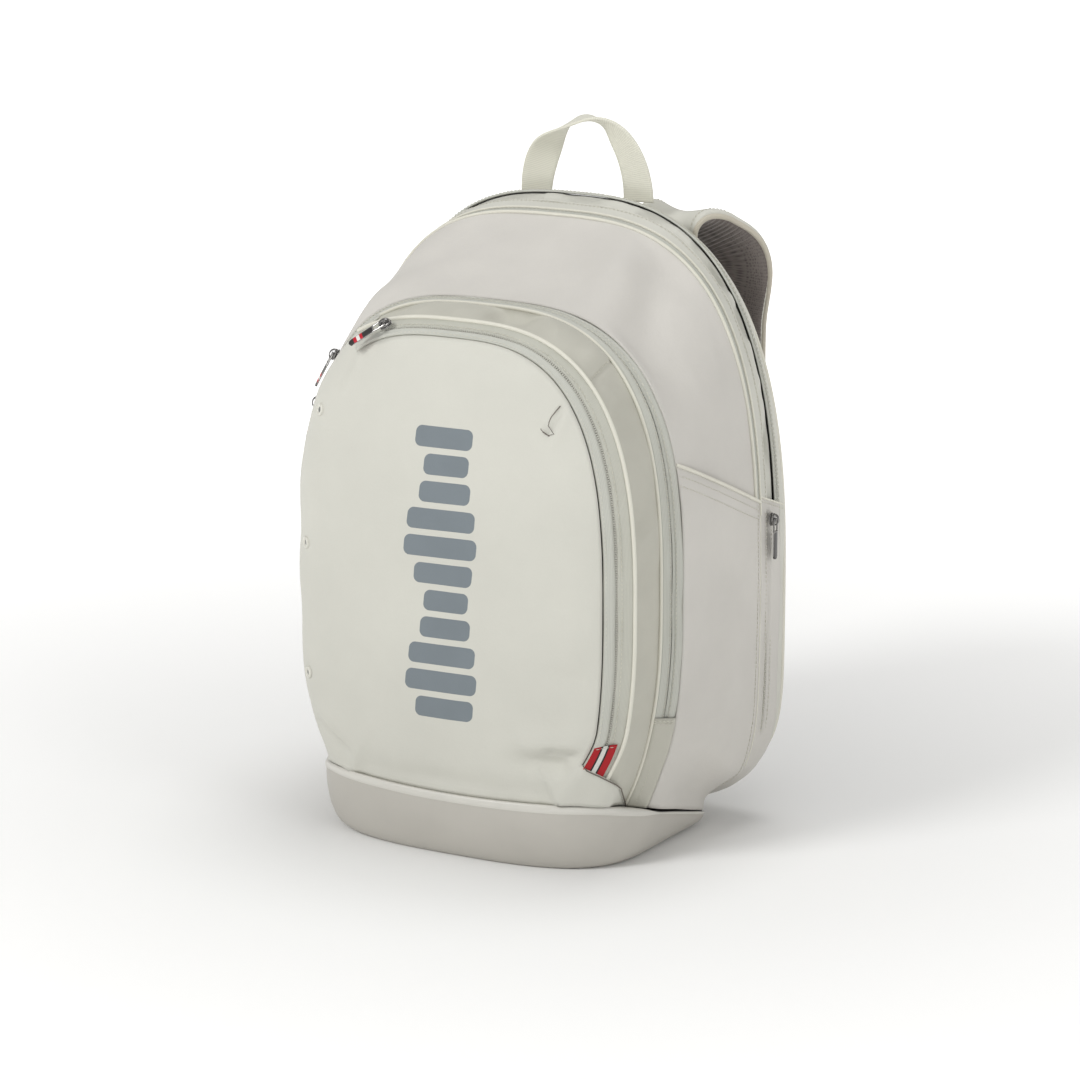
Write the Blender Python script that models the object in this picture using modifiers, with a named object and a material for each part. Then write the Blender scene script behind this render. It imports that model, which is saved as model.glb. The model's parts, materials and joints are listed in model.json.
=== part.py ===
"""Racket backpack: a moulded base, sewn panels, zipped compartments, straps and a haul handle.

Frame: metres, +Z up, the front pocket faces -Y. The origin is on the underside of the base, in
the bag's middle plane.
"""
import math

import bmesh
import bpy
import numpy as np
from mathutils import Matrix, Vector

# --- driving dimensions ---------------------------------------------------------------------
WALL = 0.0018           # coated fabric with its lining
SEAM = 0.0005           # gap between neighbouring pieces
RIM_GAP = 0.0018        # the fabric ends this far above the base's rim
CORNER_GAP = 0.0012     # gap where two pieces meet at an outward corner
BODY_CENTRE = Vector((0.0, 0.0, 0.22))

# Cross-sections from front to back: depth, half width, widest height, top, virtual bottom,
# and the superellipse exponents above and below the widest height.
SECTIONS = (
    (-0.100, 0.124, 0.190, 0.388, -0.020, 3.0, 2.5),
    (-0.088, 0.144, 0.190, 0.399, -0.020, 2.9, 2.4),
    (-0.052, 0.146, 0.190, 0.404, -0.030, 3.0, 2.3),
    (-0.038, 0.157, 0.190, 0.406, -0.035, 3.0, 2.4),
    (0.055, 0.170, 0.175, 0.454, 0.002, 3.0, 4.4),
    (0.085, 0.1725, 0.170, 0.467, 0.012, 2.8, 5.0),
    (0.100, 0.1735, 0.170, 0.462, 0.024, 2.7, 5.0),
)
FRONT_EDGE, POCKET_FRONT, POCKET_BACK, MAIN_FRONT, MAIN_BACK = (row[0] for row in SECTIONS[:5])

# Moulded base
BOOT_HALF_WIDTH = 0.135
BOOT_FRONT, BOOT_BACK = -0.110, 0.062
BOOT_CENTRE = (BOOT_FRONT + BOOT_BACK) / 2
BOOT_HALF_DEPTH = (BOOT_BACK - BOOT_FRONT) / 2
BOOT_WALL = 0.003
BOOT_SQUARE = 12.0      # exponent of its square back corners
RIM_HEIGHT = 0.052      # height of the base's rim at its front corners
RIM_SLOPE = 0.30        # the rim drops towards the back
RIM_DIP = 0.010         # and dips at the middle of the front
RIM_BLEND = 0.060       # the fabric flows to the rim over this height

# Front pocket and its zip
PANEL_BULGE = -0.113    # front of the domed panel
ZIP1_START = 0.594      # where the front zip ends at the upper left, as a share of the arch
FOLD_TOP = (-0.088, 0.400)    # the front panel folds open along the line between these, as (x, z)
FOLD_LOW = (0.130, 0.068)
FOLD_AXIS_DEPTH = -0.1145
FOLD_GAP = 0.0022       # keeps the stiff halves apart as they fold
EYELET_DEPTH, EYELET_SHARES = -0.094, (0.674, 0.796, 0.912)     # down the arch's left side
EYELET_RADIUS, EYELET_WIRE = 0.0037, 0.0010
RIBBON_START, RIBBON_END = 0.006, 0.056     # shares of the arch that the ribbon covers
SECOND_ZIP = -0.0452    # depth of the zip between the front pocket and the bag
SECOND_ZIP_GAP = 0.0003
# Main compartment
MAIN_ZIP = 0.0580       # depth of its zip
FLAP_CUT = 0.385        # the lid is everything above this height
FLAP_AXIS = (-0.037, 0.412)          # (y, z)
HEM_FRONT, HEM_BACK = 0.299, 0.256   # side pocket's mouth, at its front and back edge
POCKET_DEPTH = 0.0095   # room in the side pocket
# Racket compartment, behind the main panel
GUSSET_DEPTHS = (0.0630, 0.0735, 0.0838)
REAR_TAPE_DEPTHS = (0.0854, 0.0895)
BORDER_DEPTHS = (0.0903, 0.0992)
REAR_ZIP = 0.0874       # depth of its zip
SIDE_ZIP = 0.0733       # depth of the short upright zips
SIDE_ZIP_HALF, SIDE_ZIP_HEIGHTS = 0.00375, (0.072, 0.248)
# Back: the panel, its stiff sheet and the pads as (name, x, z, half width, half height)
BACK_OUTLINE = 0.099
BACK_DEPTHS, BACK_SCALES = (0.0997, 0.1055), (0.995, 0.98)
BOARD_DEPTHS, BOARD_SCALE = (0.0970, 0.0985), 0.90
PADS = (("back_pad_right", 0.064, 0.256, 0.044, 0.140),
        ("back_pad_left", -0.064, 0.256, 0.044, 0.140),
        ("lumbar_pad", 0.0, 0.082, 0.098, 0.027))
PAD_STEPS = ((1.0, 0.1059), (0.99, 0.1105), (0.93, 0.1150), (0.80, 0.1175))    # (scale, depth)
# Front pocket's hinge, along the seam on the base's rim
POCKET_AXIS = (-0.1125, 0.045)      # (y, z)

# Zip sliders and pullers
SLIDER_LENGTH, SLIDER_WIDTH, SLIDER_BODY = 0.0100, 0.0070, 0.0024
BRIDGE_WIDTH, BRIDGE_LENGTH, BRIDGE_HEIGHT, BRIDGE_BAR = 0.0026, 0.0066, 0.0032, 0.0009
PULLER_LENGTH, PULLER_WIDTH, PULLER_THICK, PULLER_BAR = 0.0300, 0.0070, 0.0012, 0.0012
PIVOT_HEIGHT = SLIDER_BODY + 0.00115
FRONT_SLIDER_TURN = math.radians(28)    # the front zip curls down where it ends

# Handle and straps
HANDLE_HALF_SPAN, HANDLE_RISE = 0.0435, 0.0590
HANDLE_BASE = (0.1080, 0.4600)
HANDLE_TURN = ((0.0, 4), (0.12, 20), (0.24, 52), (0.34, 96), (0.42, 122), (0.52, 140), (0.70, 160),
               (0.85, 172), (1.0, 180))     # the band's turn in degrees along the handle
WEBBING_WIDTH, WEBBING_THICK = 0.025, 0.0022
STRAP_ROUTE = ((0.048, 0.1118, 0.403), (0.053, 0.1140, 0.428), (0.066, 0.1290, 0.446),
               (0.082, 0.1480, 0.437),
               (0.096, 0.163, 0.412), (0.092, 0.163, 0.362), (0.096, 0.157, 0.290),
               (0.108, 0.146, 0.215), (0.119, 0.134, 0.158))
STRAP_WIDTH, STRAP_THICK = 0.062, 0.011
STRAP_ROOT_SHARE = 0.150
STRAP_ANCHOR = (0.126, 0.1105, 0.082)
LOWER_WEBBING_WIDTH, LOWER_WEBBING_THICK = 0.022, 0.0018
LOWER_WEBBING_START = 0.0330    # along from the strap's end, past its ladder lock
LOWER_WEBBING_SLACK = 0.004
LOCK_WIDTH, LOCK_LENGTH, LOCK_THICK, LOCK_RAIL = 0.034, 0.030, 0.0036, 0.0035
LEFT_STRAP_DROP = 0.011 # the left strap slumps lower, by these shares along its route
DROP_SHARES = (0.0, 0.8, 1.0, 0.8, 0.4, 0.0, 0.0, 0.0, 0.0)
STRAP_SPLIT = 0.016     # gap between a strap and its sewn root, as a share of the strap


# --- scene helpers --------------------------------------------------------------------------
def clear_scene():
    for obj in list(bpy.data.objects):
        bpy.data.objects.remove(obj, do_unlink=True)


def collection(name):
    col = bpy.data.collections.get(name) or bpy.data.collections.new(name)
    if name not in bpy.context.scene.collection.children:
        bpy.context.scene.collection.children.link(col)
    return col


def principled(name, colour, roughness, metallic=0.0):
    mat = bpy.data.materials.new(name)
    mat.use_nodes = True
    shader = mat.node_tree.nodes["Principled BSDF"]
    shader.inputs["Base Color"].default_value = (*colour, 1.0)
    shader.inputs["Roughness"].default_value = roughness
    shader.inputs["Metallic"].default_value = metallic
    return mat


def place(name, mesh, material):
    obj = bpy.data.objects.new(name, mesh)
    if not mesh.materials:
        mesh.materials.append(material)
    collection("racket_backpack").objects.link(obj)
    return obj


def mesh_from(name, verts, faces):
    mesh = bpy.data.meshes.new(name)
    mesh.from_pydata([tuple(v) for v in verts], [], faces)
    mesh.validate()
    return mesh


def thicken(obj, thickness):
    """Grows an open sheet inwards, away from its outer face."""
    mod = obj.modifiers.new("thickness", "SOLIDIFY")
    mod.thickness = thickness
    mod.offset = -1.0
    mod.use_even_offset = True
    return obj


def face_outwards(mesh, away_from):
    """Turns an open sheet so that its faces look away from a point."""
    total = sum(p.normal.dot(p.center - away_from) * p.area for p in mesh.polygons)
    if total < 0:
        mesh.flip_normals()


def sheet(name, rows, material, thickness=WALL, closed=False, cap=False, away_from=BODY_CENTRE):
    """A lofted sheet through rows of points, thickened inwards. cap fills the last row."""
    count = len(rows[0])
    verts = [p for row in rows for p in row]
    span = count if closed else count - 1
    faces = []
    for i in range(len(rows) - 1):
        for j in range(span):
            k = (j + 1) % count
            faces.append((i * count + j, i * count + k, (i + 1) * count + k, (i + 1) * count + j))
    if cap:
        faces.append(tuple((len(rows) - 1) * count + j for j in range(count)))
    mesh = mesh_from(name, verts, faces)
    face_outwards(mesh, away_from)
    obj = place(name, mesh, material)
    return thicken(obj, thickness)


def loft(name, rings, material):
    """A closed solid through rings of points, with a flat cap at each end."""
    count = len(rings[0])
    verts = [p for ring in rings for p in ring]
    faces = [tuple(range(count)), tuple((len(rings) - 1) * count + j for j in range(count))]
    for i in range(len(rings) - 1):
        for j in range(count):
            k = (j + 1) % count
            faces.append((i * count + j, i * count + k, (i + 1) * count + k, (i + 1) * count + j))
    mesh = mesh_from(name, verts, faces)
    bm = bmesh.new()
    bm.from_mesh(mesh)
    bmesh.ops.recalc_face_normals(bm, faces=bm.faces)
    bm.to_mesh(mesh)
    bm.free()
    return place(name, mesh, material)


# --- the bag's outline ----------------------------------------------------------------------
def section(y):
    """The section's values at depth y, between the ones given."""
    depths = [row[0] for row in SECTIONS]
    return [float(np.interp(y, depths, [row[i] for row in SECTIONS])) for i in range(1, 7)]


def boot_half_width(y):
    """Half width of the base's rim at depth y: round in front, square at the back."""
    share = min(abs(y - BOOT_CENTRE) / BOOT_HALF_DEPTH, 1.0)
    power = 3.0 if y < BOOT_CENTRE else BOOT_SQUARE
    return BOOT_HALF_WIDTH * (1 - share ** power) ** (1 / power)


def boot_front(x):
    """Depth of the base's front rim at width x."""
    share = min(abs(x) / BOOT_HALF_WIDTH, 1.0)
    return BOOT_CENTRE - BOOT_HALF_DEPTH * (1 - share ** 3) ** (1 / 3)


def rim_height(x, y):
    dip = RIM_DIP * (1 - min(abs(x) / BOOT_HALF_WIDTH, 1.0) ** 2)
    front = min(max((-y - 0.050) / 0.050, 0.0), 1.0)
    return RIM_HEIGHT - RIM_SLOPE * (y + 0.085) - dip * front


def smoothstep(t):
    t = min(max(t, 0.0), 1.0)
    return t * t * (3 - 2 * t)


def resample(points, count):
    """The same line with evenly spaced points."""
    pts = np.array(points, dtype=float)
    steps = np.hypot(*np.diff(pts, axis=0).T)
    along = np.concatenate([[0.0], np.cumsum(steps)])
    want = np.linspace(0.0, along[-1], count)
    return np.stack([np.interp(want, along, pts[:, i]) for i in range(2)], 1)


def half_profile(y, low=None):
    """Right half of the outline at depth y as (x, z), from height low up to the top centre.

    Without low, the half starts at the bottom centre, for a ring that closes below.
    """
    half_width, wide, top, bottom, upper, lower = section(y)
    angles = np.linspace(-math.pi / 2, math.pi / 2, 481)
    power = np.where(angles >= 0, upper, lower)
    reach = np.where(angles >= 0, top - wide, wide - bottom)
    x = half_width * np.abs(np.cos(angles)) ** (2 / power)
    z = wide + np.sign(angles) * reach * np.abs(np.sin(angles)) ** (2 / power)
    x[-1] = 0.0
    if low is None:
        x[0] = 0.0
        return np.stack([x, z], 1)
    start = np.array([[float(np.interp(low, z, x)), low]])
    keep = z > low + 1e-6
    return np.concatenate([start, np.stack([x[keep], z[keep]], 1)])


def fabric_half(y):
    """Right half of a fabric arch, from the base's rim to the top centre."""
    rim_x = boot_half_width(y)
    low = rim_height(rim_x, y) + RIM_GAP
    half = half_profile(y, low)
    for point in half:
        flow = smoothstep(1 - (point[1] - low) / RIM_BLEND)
        point[0] += (rim_x - point[0]) * flow
    return half


def arch(y, count):
    """The fabric arch at depth y: right rim, over the top, left rim."""
    half = fabric_half(y)
    mirrored = half[::-1][1:] * np.array([-1.0, 1.0])
    return [(x, y, z) for x, z in resample(np.concatenate([half, mirrored]), count)]


def part_arch(y, start, end, count, total=400):
    """A share of the arch, from start to end, where 0 is the right rim and 1 the left."""
    full = np.array(arch(y, total))
    first, last = round(start * (total - 1)), round(end * (total - 1))
    cut = resample(full[first:last + 1][:, [0, 2]], count)
    return [(x, y, z) for x, z in cut]


def ring(y, count):
    """The whole closed outline at depth y, for pieces behind the base."""
    half = half_profile(y)
    mirrored = half[::-1][1:] * np.array([-1.0, 1.0])
    line = resample(np.concatenate([half, mirrored]), count + 1)[:-1]
    return [(x, y, z) for x, z in line]


def flank(y, side, low, high, count, inset=0.0):
    """One side of the outline between two heights; low None starts at the base's rim."""
    half = fabric_half(y)
    low = half[0][1] if low is None else low
    heights = np.linspace(low, high, count)
    # the outline's side is a function of height up to the flap's cut
    widths = np.interp(heights, half[:, 1], half[:, 0])
    return [(side * (w - inset), y, h) for w, h in zip(widths, heights)]


def hem_height(y):
    share = (y - MAIN_FRONT) / (MAIN_BACK - MAIN_FRONT)
    return HEM_FRONT + (HEM_BACK - HEM_FRONT) * share


# --- body panels ----------------------------------------------------------------------------
def base_boot(mat):
    """A moulded tray: walls from the sloping rim down to a flat base."""
    steps = ((1.0, 1.0), (0.988, 0.62), (0.955, 0.28), (0.905, 0.07), (0.865, 0.0))
    rows = []
    for scale, height in steps:
        row = []
        for j in range(40):
            angle = 2 * math.pi * j / 40
            power = 3.0 if math.sin(angle) < 0 else BOOT_SQUARE
            cx, cy = math.cos(angle), math.sin(angle)
            norm = (abs(cx) ** power + abs(cy) ** power) ** (1 / power)
            x = BOOT_HALF_WIDTH * cx / norm
            y = BOOT_CENTRE + BOOT_HALF_DEPTH * cy / norm
            z = rim_height(x, y) * height
            row.append((x * scale, BOOT_CENTRE + (y - BOOT_CENTRE) * scale, z))
        rows.append(row)
    sheet("base_boot", rows, mat, BOOT_WALL, closed=True, cap=True,
          away_from=Vector((0, BOOT_CENTRE, 0.05)))


def side_inset(y, z):
    """How far the side wall lies inside the outline: deep behind the pocket, nil above it."""
    edge = min(y - MAIN_FRONT, MAIN_BACK - y) / 0.020
    floor = (z - rim_height(boot_half_width(y), y) - 0.004) / 0.040
    below_hem = (hem_height(y) + 0.006 - z) / 0.010
    bump = smoothstep(edge) * smoothstep(floor)
    slant = 0.0036 * smoothstep((0.11 - z) / 0.08)
    return (2 * WALL + slant + POCKET_DEPTH * bump) * smoothstep(below_hem)


def main_sides(mat):
    """The two sides of the main panel, up to the lid, set in behind the side pockets."""
    for side, word in ((1, "right"), (-1, "left")):
        rows = []
        for y in np.linspace(MAIN_FRONT + 2 * SEAM, MAIN_BACK - SEAM, 9):
            heights = flank(y, side, None, FLAP_CUT - SEAM, 15)
            rows.append([(x - side * side_inset(y, z), y, z) for x, y, z in heights])
        sheet("main_side_" + word, rows, mat)


def main_flap(mat):
    """The lid over the main compartment: the dome of the main panel above the cut."""
    rows = []
    for y in np.linspace(MAIN_FRONT + SEAM, MAIN_BACK - SEAM, 7):
        half = half_profile(y, FLAP_CUT)
        mirrored = half[::-1][1:] * np.array([-1.0, 1.0])
        line = resample(np.concatenate([half, mirrored]), 21)
        rows.append([(x, y, z) for x, z in line])
    sheet("main_flap", rows, mat)


def side_pockets(mat):
    for side, word in ((1, "right"), (-1, "left")):
        rows = []
        for y in np.linspace(MAIN_FRONT + SEAM, MAIN_BACK - SEAM, 8):
            rows.append(flank(y, side, None, hem_height(y), 11))
        sheet("side_pocket_" + word, rows, mat)


def rear_body(fabric, tape, trim):
    """Everything between the main panel and the back panel: closed rings behind the base."""
    sheet("main_zip_tape", [arch(y, 31) for y in (MAIN_BACK + CORNER_GAP, MAIN_BACK + 0.0058)], tape)
    rings = (("rear_gusset", GUSSET_DEPTHS, fabric), ("rear_zip_tape", REAR_TAPE_DEPTHS, tape),
             ("back_edge", BORDER_DEPTHS, trim))
    for name, depths, material in rings:
        sheet(name, [ring(y, 44) for y in depths], material, closed=True)


def plate(name, y, thickness, low, high, inset, material, count=9):
    """A flat panel across the bag at depth y, between two heights."""
    right = [(w - inset, h) for w, h in plate_side(y, low, high, count)]
    outline = right + [(-w, h) for w, h in reversed(right)]
    rings = [[(x, depth, z) for x, z in outline] for depth in (y, y + thickness)]
    return loft(name, rings, material)


def plate_side(y, low, high, count):
    half = fabric_half(y) if y < BOOT_BACK else half_profile(y)
    first = int(np.argmax(half[:, 0] > 0.3 * half[:, 0].max()))
    last = len(half) - 1 - int(np.argmax(half[::-1, 0] > 0.3 * half[:, 0].max()))
    side = half[first:last]
    heights = np.linspace(low, high, count)
    return list(zip(np.interp(heights, side[:, 1], side[:, 0]), heights))


def scaled_ring(y, depth, scale, count):
    """The outline at depth y, shrunk about its middle and moved to another depth."""
    middle = section(y)[1]
    return [(x * scale, depth, middle + (z - middle) * scale) for x, _, z in ring(y, count)]


def back_panel(fabric, board, mesh_cloth):
    rings = [scaled_ring(BACK_OUTLINE, y, scale, 40) for y, scale in zip(BACK_DEPTHS, BACK_SCALES)]
    loft("back_panel", rings, fabric)
    loft("frame_sheet", [scaled_ring(BACK_OUTLINE, y, BOARD_SCALE, 24) for y in BOARD_DEPTHS], board)
    for name, x, z, half_width, half_height in PADS:
        rings = []
        for scale, depth in PAD_STEPS:
            line = []
            for j in range(24):
                angle = 2 * math.pi * j / 24
                cx, cz = math.cos(angle), math.sin(angle)
                norm = (cx ** 4 + cz ** 4) ** 0.25
                shrink = (1 - scale) * half_width
                line.append((x + (half_width - shrink) * cx / norm, depth,
                             z + (half_height - shrink) * cz / norm))
            rings.append(line)
        loft(name, rings, mesh_cloth)


def inner_panels(lining, padding):
    """Panels that part the compartments, each open at its top."""
    plate("racket_divider", 0.0570, 0.0030, 0.044, 0.372, 0.0100, padding)
    plate("front_divider", -0.0140, 0.0012, 0.060, 0.372, 0.0190, lining)
    plate("inner_sleeve", 0.0465, 0.0012, 0.046, 0.270, 0.0240, lining)


# --- front pocket ---------------------------------------------------------------------------
def front_pocket(fabric, tape, lining, metal, ribbon):
    front_panel(fabric)
    zip_depths = (FRONT_EDGE + CORNER_GAP, POCKET_FRONT - SEAM)
    sheet("front_zip_tape", [part_arch(y, 0.0, ZIP1_START, 25) for y in zip_depths], tape)
    gusset = np.linspace(POCKET_FRONT + CORNER_GAP, POCKET_BACK - 2 * SEAM, 3)
    sheet("front_gusset", [part_arch(y, 0.0, ZIP1_START, 27) for y in gusset], fabric)
    wrap = (FRONT_EDGE + CORNER_GAP, POCKET_FRONT, *gusset[1:])
    sheet("front_wrap", [part_arch(y, ZIP1_START + 0.004, 1.0, 13) for y in wrap], fabric)
    tapes = (("second_zip_tape_front", POCKET_BACK + SEAM, SECOND_ZIP - SECOND_ZIP_GAP),
             ("second_zip_tape_rear", SECOND_ZIP + SECOND_ZIP_GAP, MAIN_FRONT - SEAM))
    for name, front, back in tapes:
        sheet(name, [arch(y, 31) for y in (front, back)], tape)
    pocket_back(lining)
    eyelets(metal)
    ribbon_trim(ribbon)


def drawn_in(x, z, amount, middle=0.19):
    """The point moved towards the middle of the outline."""
    scale = 1 - amount / max(math.hypot(x, z - middle), amount)
    return x * scale, middle + (z - middle) * scale


def front_outline(y, count):
    """The front panel's edge: the arch, then the bottom seam along the base's rim."""
    top = []
    for x, depth, z in arch(y, count):
        near_x, near_z = drawn_in(x, z, 2 * CORNER_GAP)
        low = rim_height(near_x, depth) + RIM_GAP
        top.append((near_x, depth, max(near_z, low)))
    left, right = top[-1], top[0]
    bottom = []
    for t in np.linspace(0, 1, 13)[1:-1]:
        x = left[0] + (right[0] - left[0]) * t
        depth = max(boot_front(x), PANEL_BULGE)
        bottom.append((x, depth, rim_height(x, depth) + RIM_GAP))
    return top + bottom


def front_panel(mat):
    """A domed panel that hangs over the front, fullest at the middle."""
    edge = [Vector(p) for p in front_outline(FRONT_EDGE, 33)]
    centre = Vector((0.0, PANEL_BULGE, 0.20))
    rows = []
    for share in (1.0, 0.86, 0.62, 0.32):
        row = []
        for point in edge:
            inner = centre + (point - centre) * share
            inner.y = centre.y + (point.y - centre.y) * share ** 4
            row.append(tuple(inner))
        rows.append(row)
    for name, side in (("front_panel_lower", -1), ("front_panel_upper", 1)):
        panel = sheet(name, rows, mat, closed=True, cap=True)
        cut = panel.modifiers.new("fold", "BOOLEAN")
        cut.operation = "INTERSECT"
        cut.object = fold_cutter(name + "_half", side)


def fold_cutter(name, side, size=0.6):
    """A block that holds everything on one side of the front panel's fold line."""
    top, low = Vector((FOLD_TOP[0], 0, FOLD_TOP[1])), Vector((FOLD_LOW[0], 0, FOLD_LOW[1]))
    along = (low - top).normalized()
    across = Vector((-along.z, 0, along.x))
    bm = bmesh.new()
    box(bm, (size, 0.1, size), (0, 0, 0))
    mesh = bpy.data.meshes.new(name)
    bm.to_mesh(mesh)
    bm.free()
    obj = bpy.data.objects.new(name, mesh)
    obj.hide_render = True
    obj.display_type = "WIRE"
    collection("cutters").objects.link(obj)
    centre = (top + low) / 2 + across * side * (size / 2 + FOLD_GAP)
    turn = Matrix((along, Vector((0, 1, 0)), along.cross(Vector((0, 1, 0))))).transposed().to_4x4()
    obj.matrix_world = Matrix.Translation((centre.x, FRONT_EDGE, centre.z)) @ turn
    return obj


def pocket_back(mat):
    """The wall behind the front pocket."""
    y = POCKET_BACK - 0.0022
    outline = []
    for x, _, z in arch(y, 31):
        near_x, near_z = drawn_in(x, z, 0.0052)
        outline.append((near_x, max(near_z, 0.048)))
    rings = [[(x, depth, z) for x, z in outline] for depth in (y, y + 0.0012)]
    loft("front_pocket_back", rings, mat)


def surface_frame(y, share):
    """A point on the arch at depth y, the direction along the arch and the outward normal."""
    before, point, after = (Vector(part_arch(y, 0.0, s, 3)[-1])
                            for s in (share - 0.01, share, share + 0.01))
    ahead = Vector(part_arch(y - 0.003, 0.0, share, 3)[-1])
    along = (after - before).normalized()
    normal = along.cross(ahead - point).normalized()
    if normal.dot(point - BODY_CENTRE) < 0:
        normal = -normal
    return point, along, normal


def eyelets(mat):
    """Three vent rings down the left side of the front pocket."""
    for i, share in enumerate(EYELET_SHARES):
        point, _, normal = surface_frame(EYELET_DEPTH, share)
        bpy.ops.mesh.primitive_torus_add(major_segments=12, minor_segments=5,
                                         major_radius=EYELET_RADIUS, minor_radius=EYELET_WIRE)
        obj = bpy.context.object
        obj.name = "vent_eyelet_%d" % (i + 1)
        turn = normal.to_track_quat("Z", "Y").to_matrix().to_4x4()
        obj.matrix_world = Matrix.Translation(point + normal * 0.0016) @ turn
        own(obj, mat)


def own(obj, mat):
    """Moves an object made by an operator into the backpack's collection."""
    for col in list(obj.users_collection):
        col.objects.unlink(obj)
    collection("racket_backpack").objects.link(obj)
    obj.data.materials.clear()
    obj.data.materials.append(mat)


def ribbon_trim(mat):
    """A woven tab sewn over the lower right end of the front zip."""
    rows = []
    for y in (FRONT_EDGE + 0.0015, POCKET_FRONT - 0.0015):
        row = []
        for x, _, z in part_arch(y, RIBBON_START, RIBBON_END, 5):
            out = Vector((x, 0, z - 0.22)).normalized() * 0.0024
            row.append((x + out.x, y - 0.0016, z + out.z))
        rows.append(row)
    sheet("ribbon_trim", rows, mat, 0.0009)


# --- side zips ------------------------------------------------------------------------------
def ring_side(y, side, z):
    """A point on the closed outline at depth y and height z."""
    (width, height), = plate_side(y, z, z, 1)
    return Vector((side * width, y, height))


def side_zips(tape):
    for side, word in ((1, "right"), (-1, "left")):
        rows = []
        for y in (SIDE_ZIP - SIDE_ZIP_HALF, SIDE_ZIP + SIDE_ZIP_HALF):
            column = []
            for z in np.linspace(*SIDE_ZIP_HEIGHTS, 9):
                point = ring_side(y, side, z)
                column.append((point.x + side * 0.0014, y, z))
            rows.append(column)
        sheet("side_zip_tape_" + word, rows, tape, 0.0009)


# --- sliders and pullers --------------------------------------------------------------------
def box(bm, size, centre):
    made = bmesh.ops.create_cube(bm, size=1.0)["verts"]
    bmesh.ops.scale(bm, vec=size, verts=made)
    bmesh.ops.translate(bm, vec=centre, verts=made)


def slider_mesh(mat):
    """A body plate with a bridge over it. +X runs along the zip, +Z away from the tape."""
    bm = bmesh.new()
    box(bm, (SLIDER_LENGTH, SLIDER_WIDTH, SLIDER_BODY), (0, 0, SLIDER_BODY / 2))
    body = bpy.data.meshes.new("slider")
    bm.to_mesh(body)
    bm.free()
    blank = bpy.data.objects.new("slider_blank", body)
    collection("cutters").objects.link(blank)
    bridge = bmesh.new()
    height = BRIDGE_HEIGHT
    post = (BRIDGE_BAR, BRIDGE_WIDTH, height + 0.0006)
    for end in (-1, 1):
        centre = (end * (BRIDGE_LENGTH - BRIDGE_BAR) / 2, 0, SLIDER_BODY + height / 2 - 0.0003)
        box(bridge, post, centre)
    bridge_mesh = bpy.data.meshes.new("slider_posts")
    bridge.to_mesh(bridge_mesh)
    bridge.free()
    posts = bpy.data.objects.new("slider_posts", bridge_mesh)
    top = bmesh.new()
    box(top, (BRIDGE_LENGTH, BRIDGE_WIDTH, BRIDGE_BAR), (0, 0, SLIDER_BODY + height - BRIDGE_BAR / 2))
    top_mesh = bpy.data.meshes.new("slider_top")
    top.to_mesh(top_mesh)
    top.free()
    bar = bpy.data.objects.new("slider_top", top_mesh)
    for cutter in (posts, bar):
        cutter.hide_render = True
        cutter.display_type = "WIRE"
        collection("cutters").objects.link(cutter)
        mod = blank.modifiers.new("join", "BOOLEAN")
        mod.operation = "UNION"
        mod.object = cutter
    mesh = bpy.data.meshes.new_from_object(blank.evaluated_get(bpy.context.evaluated_depsgraph_get()))
    mesh.name = "slider"
    mesh.materials.clear()
    mesh.materials.append(mat)
    bpy.data.objects.remove(blank)
    return mesh


def puller_mesh(mat):
    """A flat tab with a window at its top, whose upper bar is the pivot. +X runs to its end."""
    half = PULLER_WIDTH / 2
    start = -PULLER_BAR / 2
    window = (PULLER_BAR / 2, 0.0078)
    end = PULLER_LENGTH
    corner = 0.0016
    curve = bpy.data.curves.new("puller", "CURVE")
    curve.dimensions = "2D"
    curve.fill_mode = "BOTH"
    curve.extrude = PULLER_THICK / 2
    outer = [(start, -half), (end - corner, -half), (end, -half + corner), (end, half - corner),
             (end - corner, half), (start, half)]
    inner_half = BRIDGE_WIDTH / 2 + 0.0006
    inner = [(window[0], -inner_half), (window[1], -inner_half), (window[1], inner_half),
             (window[0], inner_half)]
    for line in (outer, inner):
        spline = curve.splines.new("POLY")
        spline.points.add(len(line) - 1)
        for point, (x, y) in zip(spline.points, line):
            point.co = (x, y, 0, 1)
        spline.use_cyclic_u = True
    obj = bpy.data.objects.new("puller_outline", curve)
    collection("cutters").objects.link(obj)
    mesh = bpy.data.meshes.new_from_object(obj.evaluated_get(bpy.context.evaluated_depsgraph_get()))
    bm = bmesh.new()
    bm.from_mesh(mesh)
    bmesh.ops.remove_doubles(bm, verts=bm.verts, dist=1e-6)
    bmesh.ops.recalc_face_normals(bm, faces=bm.faces)
    bm.to_mesh(mesh)
    bm.free()
    mesh.materials.clear()
    mesh.materials.append(mat)
    bpy.data.objects.remove(obj)
    return mesh


def zip_frame(point, along, normal, lift):
    """The pose of a slider: +X along the zip, +Z off the tape."""
    across = normal.cross(along).normalized()
    turn = Matrix((along, across, normal)).transposed().to_4x4()
    return Matrix.Translation(point + normal * lift) @ turn


def add_slider(name, pose, meshes):
    """A slider and its puller, which lies back towards the zip's closed end."""
    slider, puller = meshes
    body = place("slider_" + name, slider, None)
    body.matrix_world = pose
    tab = place("puller_" + name, puller, None)
    tab.parent = body
    tab.location = (0, 0, PIVOT_HEIGHT)


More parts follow.
